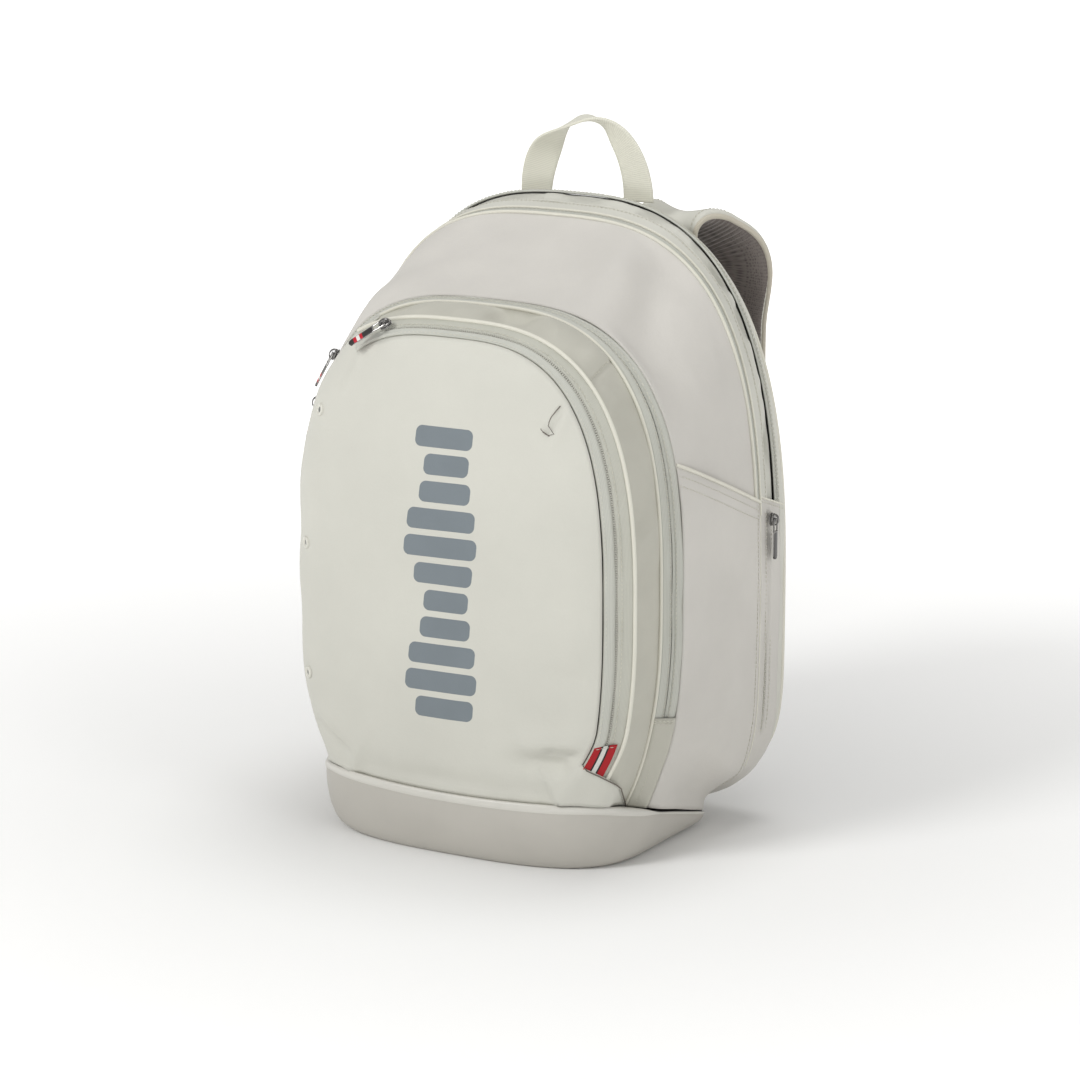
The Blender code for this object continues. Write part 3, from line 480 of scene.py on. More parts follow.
def woven(name, colour, rib, roughness=0.8, strength=0.6, along=1, cross_share=0.5):
    """Webbing and tape: ribs across the length, at a pitch in metres, with a finer cross weave."""
    n = Nodes(name, roughness, Sheen_Weight=0.15)
    split = n.node("ShaderNodeSeparateXYZ")
    n.link(n.coords("UV"), split.inputs[0])
    waves = []
    for axis, pitch in ((along, rib), (1 - along, rib * cross_share)):
        turned = n.maths("MULTIPLY", split.outputs[axis], 2 * math.pi / pitch)
        waves.append(n.maths("SINE", turned))
    weave = n.maths("ADD", n.maths("MULTIPLY", waves[0], 0.35), n.maths("MULTIPLY", waves[1], 0.15))
    weave = n.maths("ADD", weave, 0.5)
    mottled = n.noise(60.0, 3.0)
    base = n.mix(n.ramp(weave, 0.1, 0.9), shade(colour, 0.86), shade(colour, 1.04))
    n.colour(n.mix(n.maths("MULTIPLY", mottled, 0.18), base, shade(colour, 0.78)))
    return n.bumps((weave, strength, 0.0003)).mat


def spacer_mesh(name, colour):
    """Open knit over foam: rows of small dark holes on grey brown yarn."""
    n = Nodes(name, 0.85, Sheen_Weight=0.25)
    cells = n.node("ShaderNodeTexVoronoi")
    cells.inputs["Scale"].default_value = 560.0
    cells.inputs["Randomness"].default_value = 0.35
    n.link(n.coords("UV"), cells.inputs["Vector"])
    holes = n.ramp(cells.outputs["Distance"], 0.15, 0.45)
    base = n.mix(n.noise(25.0, 3.0), shade(colour, 0.85), shade(colour, 1.12))
    n.colour(n.mix(holes, shade(colour, 0.50), base))
    return n.bumps((holes, 0.35, 0.0003)).mat


def moulded(name, colour, roughness=0.42):
    """Smooth moulded foam or plastic with a fine spark texture and faint flow mottling."""
    n = Nodes(name, roughness, Specular_IOR_Level=0.45, Coat_Weight=0.05, Coat_Roughness=0.4)
    mottle = n.ramp(n.noise(14.0, 4.0, 0.6), 0.3, 0.7)
    n.colour(n.mix(mottle, shade(colour, 0.95), shade(colour, 1.02)))
    return n.bumps((n.noise(1800.0, 2.0), 0.18, 0.0001), (n.noise(25.0, 2.0), 0.10, 0.0006)).mat


def metal(name, colour, roughness=0.28):
    n = Nodes(name, roughness, 1.0)
    worn = n.ramp(n.noise(700.0, 3.0, 0.6), 0.35, 0.75)
    n.colour(n.mix(worn, colour, shade(colour, 1.5)))
    return n.bumps((n.noise(2500.0, 1.0, 0.5, stretch=(1, 4, 1)), 0.12, 0.00005)).mat


def plain(name, colour, roughness, speckle=0.06, **sockets):
    n = Nodes(name, roughness, **sockets)
    n.colour(n.mix(n.noise(500.0, 3.0), shade(colour, 1 - speckle), shade(colour, 1 + speckle)))
    return n.bumps((n.noise(1600.0, 2.0), 0.2, 0.00008)).mat


# A printed column of plain bars stands where the front panel carries its mark.
PRINT_X, PRINT_LOW, PRINT_HIGH, PRINT_BARS = 0.0005, 0.1050, 0.3270, 11
PRINT_HALF_WIDTH, PRINT_WAVE, PRINT_SLANT, PRINT_CORNER = 0.0235, 0.0058, 0.10, 0.0050


def printed_fabric(name, colour, ink):
    """The front panel's coated cloth with the printed bars, placed by the panel's x and z."""
    n = Nodes(name, 0.58, Sheen_Weight=0.06, Specular_IOR_Level=0.35)
    split = n.node("ShaderNodeSeparateXYZ")
    n.link(n.coords("UV"), split.inputs[0])
    x, z = split.outputs[0], split.outputs[1]
    pitch = (PRINT_HIGH - PRINT_LOW) / PRINT_BARS
    row = n.maths("DIVIDE", n.maths("SUBTRACT", z, PRINT_LOW), pitch)
    index = n.maths("FLOOR", row)
    up = n.maths("MULTIPLY", n.maths("SUBTRACT", n.maths("FRACT", row), 0.5), pitch)
    wave = n.maths("SINE", n.maths("MULTIPLY", index, 1.25))
    half = n.maths("ADD", n.maths("MULTIPLY", wave, PRINT_WAVE), PRINT_HALF_WIDTH)
    across = n.maths("SUBTRACT", n.maths("SUBTRACT", x, PRINT_X), n.maths("MULTIPLY", up, PRINT_SLANT))
    across = n.maths("ADD", across, n.maths("MULTIPLY", wave, PRINT_WAVE * 0.4))
    out_x = n.maths("MAXIMUM", n.maths("SUBTRACT", n.maths("ABSOLUTE", across),
                                       n.maths("SUBTRACT", half, PRINT_CORNER)), 0.0)
    out_z = n.maths("MAXIMUM", n.maths("SUBTRACT", n.maths("ABSOLUTE", up),
                                       pitch * 0.385 - PRINT_CORNER), 0.0)
    squares = n.maths("ADD", n.maths("MULTIPLY", out_x, out_x), n.maths("MULTIPLY", out_z, out_z))
    inside = n.maths("LESS_THAN", n.maths("SQRT", squares), PRINT_CORNER)
    in_column = n.maths("MULTIPLY", n.maths("GREATER_THAN", row, 0.0),
                        n.maths("LESS_THAN", row, float(PRINT_BARS)))
    mask = n.maths("MULTIPLY", inside, in_column)
    blotches = n.ramp(n.noise(11.0, 4.0, 0.6), 0.3, 0.7)
    base = n.mix(blotches, shade(colour, 0.955), shade(colour, 1.02))
    base = n.mix(n.ramp(n.noise(900.0, 2.0, 0.6), 0.25, 0.75), n.mix(0.10, base, shade(colour, 0.80)), base)
    film = n.mix(n.noise(40.0, 2.0), shade(ink, 0.93), shade(ink, 1.07))
    n.colour(n.mix(mask, base, film))
    return n.bumps((n.noise(420.0, 3.0, 0.55), 0.30, 0.00035), (n.noise(1500.0, 1.0), 0.18, 0.00015),
                   (mask, 0.5, 0.00012)).mat


def striped_ribbon(name, width):
    """Woven ribbon: red, a thin black line, white, a thin black line, red."""
    n = Nodes(name, 0.68)
    split = n.node("ShaderNodeSeparateXYZ")
    n.link(n.coords("UV"), split.inputs[0])
    across = n.maths("DIVIDE", split.outputs[1], width)
    centre = n.maths("ABSOLUTE", n.maths("SUBTRACT", across, 0.5))
    weave = n.maths("SINE", n.maths("MULTIPLY", split.outputs[0], 2 * math.pi / 0.0007))
    red = n.mix(n.ramp(weave, -1.0, 1.0), shade(RED, 0.85), shade(RED, 1.12))
    white = n.mix(n.ramp(weave, -1.0, 1.0), (0.62, 0.62, 0.58), (0.72, 0.72, 0.68))
    middle = n.mix(n.maths("GREATER_THAN", centre, 0.105), white, (0.012, 0.010, 0.010))
    n.colour(n.mix(n.maths("GREATER_THAN", centre, 0.185), middle, red))
    return n.bumps((weave, 0.4, 0.0002)).mat


CREAM = (0.615, 0.610, 0.550)
PANEL_CREAM = (0.605, 0.585, 0.545)
TAPE = (0.53, 0.53, 0.465)
RED = (0.40, 0.002, 0.008)
FRONT_CLOTH = printed_fabric("front_cloth", CREAM, (0.185, 0.215, 0.235))
SHELL_CLOTH = coated("shell_cloth", CREAM)
PANEL_CLOTH = coated("panel_cloth", PANEL_CREAM, 0.60, 0.34, 0.06)
# The front gusset's cloth is a darker copy of the cream: painted shade, as the strip faces away from the key
# light.
SHADED_POCKET_GUSSET = coated("pocket_gusset_painted_shade", (0.515, 0.505, 0.440), 0.62, 0.30, 0.08)
GUSSET_CLOTH = coated("gusset_cloth", shade(CREAM, 0.97), 0.62, 0.30, 0.08)
PIPING = coated("piping", (0.70, 0.685, 0.600), 0.55, 0.20, 0.03)
WELT = woven("zip_welt", (0.54, 0.545, 0.490), 0.0011, 0.6, 0.35)
ZIP_TAPE = woven("zip_tape", TAPE, 0.0009, 0.75, 0.5)
# Dark material for the zips' grooves and openings: painted shade, not the cloth's colour.
ZIP_SHADOW = plain("zip_painted_shade", (0.30, 0.29, 0.255), 0.8)
COIL = plain("zip_coil", (0.50, 0.495, 0.44), 0.4)
LINING = woven("lining", (0.25, 0.245, 0.235), 0.0016, 0.8, 0.3)
AIR_MESH = spacer_mesh("air_mesh", (0.190, 0.165, 0.150))
BACK_CLOTH = spacer_mesh("back_cloth", (0.42, 0.40, 0.36))
BOOT = moulded("moulded_base", (0.505, 0.485, 0.440))
# A lighter copy of the moulded base for the lip: a painted highlight where the lip catches the light.
BOOT_RIM_HIGHLIGHT = moulded("moulded_rim_highlight", (0.65, 0.635, 0.585), 0.38)
WEBBING = woven("webbing", (0.73, 0.72, 0.62), 0.0014, 0.72, 0.30)
BINDING = woven("binding", (0.56, 0.52, 0.43), 0.0010, 0.8, 0.5)
PLASTIC = moulded("buckle_plastic", (0.60, 0.585, 0.53), 0.45)
EYELET = moulded("eyelet_plastic", (0.70, 0.69, 0.62), 0.35)
VENT = spacer_mesh("vent_mesh", (0.17, 0.175, 0.165))
GUNMETAL = metal("gunmetal", (0.19, 0.185, 0.18))
BRIGHT = metal("bright_nickel", (0.48, 0.47, 0.46), 0.22)
TAB_BLACK = plain("tab_black", (0.022, 0.019, 0.018), 0.35, 0.2, Coat_Weight=0.3)
TAB_RED = plain("tab_red", (0.48, 0.006, 0.02), 0.4)
TAB_WHITE = plain("tab_white", (0.75, 0.74, 0.71), 0.4)
THREAD = plain("thread", (0.60, 0.585, 0.50), 0.7, 0.1)
# Thin dark tubes drawn along seams: painted seam shadow.
SEAM_SHADOW_PAINT = plain("seam_shadow", (0.16, 0.14, 0.12), 0.85)
FOAM_BOARD = plain("frame_board", (0.72, 0.72, 0.71), 0.5)


# --- sewing details --------------------------------------------------------------------------
STITCH_PITCH, STITCH_LENGTH, STITCH_RADIUS = 0.0034, 0.0023, 0.00026


def stitches(made, points, normals, mat=0, lift=0.0001):
    """A row of short threads along a line on the surface."""
    points = np.asarray(points, float)
    along = run_along(points)
    count = int(along[-1] / STITCH_PITCH)
    normals = np.broadcast_to(normals, points.shape)
    for i in range(count):
        start = (i + 0.15) * STITCH_PITCH
        at = np.linspace(start, start + STITCH_LENGTH, 4)
        line = np.stack([np.interp(at, along, points[:, k]) for k in range(3)], 1)
        up = np.stack([np.interp(at, along, normals[:, k]) for k in range(3)], 1)
        rise = np.array((-0.5, 1.0, 1.0, -0.5))[:, None] * STITCH_RADIUS
        made.tube(line + up * (lift + rise), (0.6 * STITCH_RADIUS, STITCH_RADIUS, STITCH_RADIUS,
                                              0.6 * STITCH_RADIUS), mat, 5)


def teeth(made, points, normals, mat=0, pitch=0.0017, width=0.0030):
    """A coil zip's teeth along a line, alternately from one side and the other."""
    points = np.asarray(points, float)
    along = run_along(points)
    ahead = np.gradient(points, axis=0)
    normals = np.broadcast_to(normals, points.shape)
    for i in range(int(along[-1] / pitch)):
        at = (i + 0.5) * pitch
        centre, forward, up = (np.array([np.interp(at, along, data[:, k]) for k in range(3)])
                               for data in (points, ahead, normals))
        forward /= np.linalg.norm(forward)
        side = np.cross(up, forward)
        side /= np.linalg.norm(side)
        offset = side * width * (0.12 if i % 2 else -0.12)
        made.block(centre + offset, (forward, side, np.cross(forward, side)),
                   (pitch * 0.62, width, 0.0008), mat)


def line_on(grid, row, cols=slice(None)):
    """A row of a grid, between whole rows if need be."""
    low = int(math.floor(row))
    high = min(low + 1, grid.shape[0] - 1)
    return grid[low, cols] * (1 - (row - low)) + grid[high, cols] * (row - low)


details = {}


def detail(body):
    """The builder that holds a body's stitches and teeth."""
    return details.setdefault(body, Builder())


# --- base --------------------------------------------------------------------------------------
def base_boot():
    """A moulded tray with a lip that stands proud of the fabric, soft walls and a flat sole; the lip is
    lighter, a painted highlight.
    """
    lip = [(0.78, 0.88), (0.84, 0.94), (0.90, 0.970), (0.945, 0.985), (0.972, 0.996), (0.9815, 1.000),
           (0.990, 0.995), (0.997, 0.968), (0.9995, 0.925), (0.998, 0.895), (0.9935, 0.880)]
    wall = [(0.9925, 0.865), (0.9925, 0.80), (0.991, 0.70), (0.988, 0.60), (0.983, 0.50), (0.976, 0.40),
            (0.966, 0.30), (0.954, 0.21), (0.940, 0.13), (0.922, 0.065), (0.904, 0.028), (0.893, 0.014),
            (0.885, 0.004), (0.872, 0.0), (0.80, 0.0), (0.5, 0.0), (0.15, 0.0)]
    count = 220
    rows, kinds = [], []
    for scale, height in lip + wall:
        row = []
        for j in range(count):
            angle = 2 * math.pi * j / count
            power = 3.0 if math.sin(angle) < 0 else BOOT_SQUARE
            cx, cy = math.cos(angle), math.sin(angle)
            norm = (abs(cx) ** power + abs(cy) ** power) ** (1 / power)
            x, y = BOOT_HALF_WIDTH * cx / norm, BOOT_CENTRE + BOOT_HALF_DEPTH * cy / norm
            row.append((x * scale, BOOT_CENTRE + (y - BOOT_CENTRE) * scale, rim_height(x, y) * height))
        rows.append(row)
        # The lip's rows take the lighter material: a painted highlight.
        kinds.append(1 if height > 0.885 else 0)
    grid = np.array(rows)
    centre = np.array((0.0, BOOT_CENTRE, 0.05))
    soft = ripple(grid, 22.0, 3.0) * 0.0007 + ripple(grid, 9.0, 8.0) * 0.0011
    level = grid[..., 2] / 0.05
    height = soft * smoothstep(level / 0.4) * smoothstep((0.95 - level) / 0.3)
    grid = grid + grid_normals(grid, centre) * height[..., None]
    grid[..., 2] = np.maximum(grid[..., 2], 0.0)
    made = Builder()
    made.grid(grid, kinds, close_u=True)
    last = len(made.verts) - count
    made.faces.append(tuple(last + j for j in range(count)))
    made.mats.append(0)
    made.uvs.extend([(0.0, 0.0)] * count)
    obj = outwards(made.make("moulded_base", [BOOT, BOOT_RIM_HIGHLIGHT, LINING]), centre)
    thicken(obj, 0.0028, 2)
    finish_piece(obj, "bag", ["base_boot"])


# --- front pocket --------------------------------------------------------------------------------
GRID_SIDE = 96          # cells along each side of the front panel's grid
CORNER_SHARE = 0.36     # the arch's share up to the panel's upper corners
PANEL_CENTRE_Z = 0.20
DIAGONAL_SHARE = 0.046  # below this share the panel's edge runs out diagonally over the front zip
DIAGONAL_LIFT = (0.0037, 0.0018)     # over the ribbon, and behind it


def front_bottom(t):
    """The front panel's seam on the base, from the left rim at 0 to the right rim at 1."""
    left, right = on_outline(FRONT_EDGE, np.array([1.0, 0.0]))
    x = left[0] + (right[0] - left[0]) * t
    y = max(boot_front(x) + 0.0042, FRONT_EDGE - 0.0105)
    ends = smoothstep(min(t, 1 - t) / 0.12)
    return (x, y * ends + FRONT_EDGE * (1 - ends), rim_height(x, y) + RIM_GAP * 0.3)


def square_ring(level, side):
    """Cells of a square grid's ring, anticlockwise from the lower right corner."""
    half = side // 2
    low, high = half - level, half + level
    ring = [(high, j) for j in range(low, high)] + [(i, high) for i in range(high, low, -1)]
    return ring + [(low, j) for j in range(high, low, -1)] + [(i, low) for i in range(low, high)]


def front_edge_points():
    """The front panel's edge, anticlockwise from the lower right, with its arch shares."""
    side = GRID_SIDE
    steps = np.linspace(0, 1, side, endpoint=False)
    shares = np.concatenate([steps * CORNER_SHARE, CORNER_SHARE + steps * (1 - 2 * CORNER_SHARE),
                             1 - CORNER_SHARE + steps * CORNER_SHARE])
    bottom = np.array([front_bottom(t) for t in np.linspace(0, 1, side, endpoint=False)])
    return np.concatenate([on_outline(FRONT_EDGE, shares), bottom]), shares


def arch_normal(y, share):
    share = max(share, 0.002)
    return grid_normals(arch_grid((y - 0.001, y, y + 0.001), (share - 0.002, share, share + 0.002)))[1, 1]


def lift_corner(edge, shares):
    """Raises the panel's lower right edge, which lies over the ribbon."""
    for i, share in enumerate(shares[shares < DIAGONAL_SHARE]):
        edge[i] += arch_normal(FRONT_EDGE, share) * DIAGONAL_LIFT[0] * 0.8 * smoothstep(
            (DIAGONAL_SHARE - share) / 0.012)


def corner_patch(edge, shares):
    """The panel's lower right corner, which runs back over the zip, the ribbon and the gusset."""
    over, behind = DIAGONAL_LIFT
    rows = [edge[:(shares < DIAGONAL_SHARE + 0.002).sum()]]
    for part in np.linspace(0, 1, 15)[1:]:
        row = []
        for start, share in zip(rows[0], shares):
            reach = (POCKET_BACK - FRONT_EDGE) * max(1 - share / DIAGONAL_SHARE, 0.0) ** 1.4
            y = FRONT_EDGE + reach * part
            place, normal = on_outline(y, np.array([share]))[0], arch_normal(y, share)
            begin = (start - on_outline(FRONT_EDGE, np.array([share]))[0]) @ normal
            rise = smoothstep((y - FRONT_EDGE) / 0.0022)
            lift = over + (behind - over) * smoothstep((y - POCKET_FRONT - 0.002) / 0.012)
            row.append(place + normal * (begin * (1 - rise) + lift * rise))
        rows.append(np.array(row))
    return np.array(rows)


def dent(x, z, at, size, depth, turn=0.0):
    """A soft hollow at a place on the front, long and wide as size says."""
    dx, dz = x - at[0], z - at[1]
    c, s = math.cos(turn), math.sin(turn)
    u, v = (dx * c + dz * s) / size[0], (-dx * s + dz * c) / size[1]
    return -depth * np.exp(-(u * u + v * v))


def crease(x, z, start, end, width, depth, fade=0.25):
    """A narrow valley along a line, which fades out at its end."""
    sx, sz = start
    dx, dz = end[0] - sx, end[1] - sz
    length = math.hypot(dx, dz)
    t = ((x - sx) * dx + (z - sz) * dz) / length ** 2
    off = np.abs((x - sx) * dz - (z - sz) * dx) / length
    live = smoothstep((t + 0.05) / 0.1) * smoothstep((1 + fade * 0.5 - t) / fade)
    return -depth * np.exp(-(off / width) ** 2) * live


def front_relief(x, z):
    """The front panel's folds: a sewn dart at the upper right and soft sags near the base."""
    relief = crease(x, z, (0.0990, 0.3560), (0.0840, 0.3290), 0.0022, 0.0026, 0.30)
    relief += crease(x, z, (0.0840, 0.3290), (0.0790, 0.3310), 0.0020, 0.0020, 0.8)
    relief -= crease(x, z, (0.1030, 0.3520), (0.0880, 0.3240), 0.0035, 0.0012, 0.4)
    relief += dent(x, z, (0.092, 0.374), (0.030, 0.012), 0.0034, math.radians(55))
    relief += dent(x, z, (0.108, 0.352), (0.020, 0.022), 0.0024)
    relief -= dent(x, z, (0.070, 0.352), (0.035, 0.020), 0.0020)
    relief += dent(x, z, (0.088, 0.0830), (0.026, 0.0075), 0.0075, math.radians(4))
    relief -= dent(x, z, (0.084, 0.0990), (0.026, 0.0085), 0.0034, math.radians(6))
    relief += crease(x, z, (0.082, 0.0935), (0.108, 0.0910), 0.0026, 0.0034, 0.6)
    relief += crease(x, z, (-0.118, 0.0860), (-0.088, 0.0655), 0.0045, 0.0036, 0.6)
    relief -= dent(x, z, (-0.100, 0.0900), (0.022, 0.0100), 0.0022, math.radians(-35))
    relief += dent(x, z, (-0.020, 0.0560), (0.070, 0.0100), 0.0022)
    relief += dent(x, z, (-0.095, 0.366), (0.030, 0.010), 0.0020, math.radians(35))
    relief += dent(x, z, (0.020, 0.384), (0.050, 0.007), 0.0012)
    for start, end in (((-0.0765, 0.3910), (-0.0830, 0.3634)), ((-0.0830, 0.3634), (-0.0920, 0.3432))):
        relief += crease(x, z, start, end, 0.0013, 0.0012, 0.1)
    relief += crease(x, z, (-0.105, 0.3050), (-0.075, 0.3180), 0.0060, 0.0010, 0.8)
    relief += crease(x, z, (-0.118, 0.2000), (-0.085, 0.2120), 0.0080, 0.0010, 0.8)
    relief += crease(x, z, (0.112, 0.2550), (0.080, 0.2600), 0.0070, 0.0010, 0.8)
    relief += crease(x, z, (0.114, 0.1950), (0.086, 0.2050), 0.0070, 0.0011, 0.8)
    relief += crease(x, z, (0.112, 0.1480), (0.080, 0.1560), 0.0070, 0.0012, 0.8)
    return relief


# A sewn dart at the upper right, as (x, z); a thin dark tube along it paints the seam's shadow
FRONT_SEAMS = (((0.0950, 0.3500), (0.0890, 0.3390), (0.0840, 0.3290)),
               ((0.0840, 0.3290), (0.0812, 0.3293), (0.0790, 0.3310)))


def front_shell():
    """The domed front panel, with the part that wraps round the left side, in one cloth."""
    side = GRID_SIDE
    half = side // 2
    edge, shares = front_edge_points()
    lift_corner(edge, shares)
    centre = np.array((0.0, PANEL_BULGE, PANEL_CENTRE_Z))
    grid = np.zeros((side + 1, side + 1, 3))
    grid[half, half] = centre
    for level in range(1, half + 1):
        ring = square_ring(level, side)
        share = level / half
        at = np.arange(len(ring)) / len(ring) * len(edge)
        low = np.floor(at).astype(int) % len(edge)
        part = (at - np.floor(at))[:, None]
        points = edge[low] * (1 - part) + edge[(low + 1) % len(edge)] * part
        inner = centre + (points - centre) * share
        inner[:, 1] = centre[1] + (points[:, 1] - centre[1]) * share ** 4
        for (i, j), point in zip(ring, inner):
            grid[i, j] = point
    made = Builder()
    made.grid(grid, 0, uvs=grid[..., (0, 2)])
    first = int(np.searchsorted(shares, ZIP1_START))
    wrap_shares = np.concatenate([shares[first:], [1.0]])
    depths = (FRONT_EDGE, -0.0965, -0.0925, -0.0880, -0.083, -0.077, -0.070, -0.064, -0.058, -0.0535)
    wrap = arch_grid(depths, wrap_shares)
    wrap[0, :-1] = edge[first:3 * side]
    wrap[0, -1] = edge[3 * side]
    made.grid(wrap, 1, uvs=wrap[..., (0, 2)] + np.array((-1.0, 0.0)))
    patch = corner_patch(edge, shares)
    made.grid(patch, 1, uvs=patch[..., (0, 2)] + np.array((-1.0, 0.0)))
    obj = outwards(made.make("front_shell", [FRONT_CLOTH, SHELL_CLOTH, LINING], recalc=True, merge=1e-5))
    relax(obj, 16, lambda p: (p[:, 0] < -0.085) | ((p[:, 2] > 0.30) & (p[:, 0] < -0.05)))
    points = vertex_points(obj)
    normals = vertex_normals(obj)
    x, z = points[:, 0], points[:, 2]
    facing = smoothstep((-points[:, 1] - 0.088) / 0.012)
    height = front_relief(x, z) * facing
    height += ripple(points, 9.0, 2.0) * 0.0016 + ripple(points, 24.0, 5.0) * 0.0006
    height *= edge_fade(points, edge[patch.shape[1]:])
    set_points(obj, points + normals * height[:, None])
    thicken(obj, 0.0014, 2)
    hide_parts("front_panel_lower", "front_panel_upper", "front_wrap")
    bpy.context.view_layer.update()
    tree = BVHTree.FromObject(obj, bpy.context.evaluated_depsgraph_get())
    # Thin dark tubes along the corner patch's edge and along the dart: painted seam shadow.
    seams = Builder()
    seams.tube(patch[-1] + np.array((0.0002, 0.0004, -0.0004)), 0.0005, 0, 6)
    for route in FRONT_SEAMS:
        spots = spline_points([(x, PANEL_BULGE, z) for x, z in route], 30)
        hits = [tuple(tree.find_nearest(spot)[0]) for spot in spots]
        seams.tube(np.array(hits), np.linspace(0.00045, 0.0002, 30), 0, 6)
    finish_piece(seams.make("front_seam_shadows", [SEAM_SHADOW_PAINT], recalc=True), "front_pocket", ())
    return obj


def edge_fade(points, edge):
    """Nil on the panel's seam and 1 away from it, so that folds end in the seams."""
    tree = BVHTree.FromPolygons([Vector(p) for p in edge], [(i, (i + 1) % len(edge), i)
                                                          for i in range(len(edge))])
    away = np.array([tree.find_nearest(Vector(p))[3] or 0.0 for p in points])
    left = smoothstep((-points[:, 0] - 0.06) / 0.03)
    return np.maximum(smoothstep(away / 0.012), left)


def vertex_points(obj):
    flat = np.empty(len(obj.data.vertices) * 3)
    obj.data.vertices.foreach_get("co", flat)
    return flat.reshape(-1, 3)


def vertex_normals(obj):
    flat = np.empty(len(obj.data.vertices) * 3)
    obj.data.vertex_normals.foreach_get("vector", flat)
    return flat.reshape(-1, 3)


def set_points(obj, points):
    obj.data.vertices.foreach_set("co", np.asarray(points, np.float32).ravel())
    obj.data.update()


def relax(obj, passes, chosen):
    """Smooths the chosen vertices and leaves the sheet's own edge where it is."""
    bm = bmesh.new()
    bm.from_mesh(obj.data)
    points = np.array([v.co for v in bm.verts])
    mask = chosen(points)
    verts = [v for v, keep in zip(bm.verts, mask) if keep and not v.is_boundary]
    for _ in range(passes):
        bmesh.ops.smooth_vert(bm, verts=verts, factor=0.5, use_axis_x=True, use_axis_y=True,
                              use_axis_z=True)
    bm.to_mesh(obj.data)
    bm.free()
    obj.data.update()


def fold_blend(obj):
    """Bakes the piece's placement into its mesh; the fold line's direction is worked out, but nothing is
    bent.
    """
    along = np.array((FOLD_LOW[0] - FOLD_TOP[0], 0, FOLD_LOW[1] - FOLD_TOP[1]))
    along /= np.linalg.norm(along)
    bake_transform(obj)


def shares_to(end, count=420):
    return np.linspace(0.0, end, count)


def front_zip():
    """The front zip's band: a raised welt, the coil in its groove, and the tape behind."""
    shares = shares_to(ZIP1_START + 0.004, 420)
    depths = np.linspace(FRONT_EDGE + 0.0004, POCKET_FRONT - 0.0006, 25)
    grid = arch_grid(depths, shares)
    v = np.linspace(0, 1, 25)[:, None]
    welt = 0.0013 * smoothstep((v - 0.03) / 0.07) * smoothstep((0.40 - v) / 0.06)
    groove = -0.0007 * smoothstep((v - 0.38) / 0.04) * smoothstep((0.50 - v) / 0.04)
    height = welt + groove - 0.0010 * smoothstep((0.04 - v) / 0.04)
    height = height + ripple(grid, 30.0, 4.0) * 0.0003
    # The narrow band between welt and tape takes the dark groove material: painted shade.
    band = [1 if 0.02 < x < 0.40 else (2 if 0.40 < x < 0.45 else 0) for x in np.linspace(0, 1, 25)[:-1]]
    skin("front_zip", grid, "front_pocket", ["front_zip_tape"], [ZIP_TAPE, WELT, ZIP_SHADOW], height,
         0.0008, band)
    normals = grid_normals(grid)
    made = detail("front_pocket")
    teeth(made, line_on(grid, 10.6) - line_on(normals, 11) * 0.0004, line_on(normals, 11), 1, width=0.0018)
    stitches(made, line_on(grid, 2.6) + line_on(normals, 3) * 0.0009, line_on(normals, 3))
    stitches(made, line_on(grid, 15.0), line_on(normals, 15))
    return grid, normals


def front_gusset():
    """The puckered strip behind the front zip, piped along both seams."""
    shares = shares_to(ZIP1_START + 0.004, 460)
    count = 22
    depths = np.linspace(POCKET_FRONT + 0.0006, POCKET_BACK + 0.0002, count)
    grid = arch_grid(depths, shares)
    v = np.linspace(0, 1, count)[:, None]
    bow = (4 * v * (1 - v)) ** 0.7
    pucker = ripple(grid, 32.0, 1.0, (1.0, 0.30, 1.0)) * 0.0046
    pucker = pucker + ripple(grid, 72.0, 6.0, (1, 0.4, 1)) * 0.0007
    top = smoothstep((grid[..., 2] - 0.20) / 0.14)
    foot = smoothstep((grid[..., 2] - 0.080) / 0.040)
    height = bow * (-0.0022 + pucker * (0.35 + 0.75 * top)) * foot
    height = height - 0.0009 * np.exp(-(np.abs(shares[None, :] - (0.366 + 0.010 * v)) / 0.0022) ** 2)
    # The strip's cloth is a darker copy of the cream: painted shade.
    moved = skin("front_gusset_skin", grid, "front_pocket", ["front_gusset"], [SHADED_POCKET_GUSSET],
                 height)[1]
    normals = grid_normals(moved)
    made = detail("front_pocket")
    rows = [line_on(moved, i) for i in range(count)]
    dart = np.array([rows[i][int(round((0.3685 + 0.010 * i / count) / shares[-1] * (len(shares) - 1)))]
                     for i in range(2, count - 1)])
    stitches(made, dart, normals[2:count - 1, 270])
    piping = Builder()
    for y, radius in ((POCKET_FRONT, 0.0015), (POCKET_BACK + 0.0002, 0.0013)):
        line = on_outline(y, shares_to(ZIP1_START + 0.004, 300))
        normal = grid_normals(arch_grid((y - 0.002, y, y + 0.002), shares_to(ZIP1_START + 0.004, 300)))[1]
        piping.tube(line + normal * 0.0004, radius, 0, 9)
    obj = piping.make("front_piping", [PIPING], recalc=True)
    finish_piece(obj, "front_pocket", ())


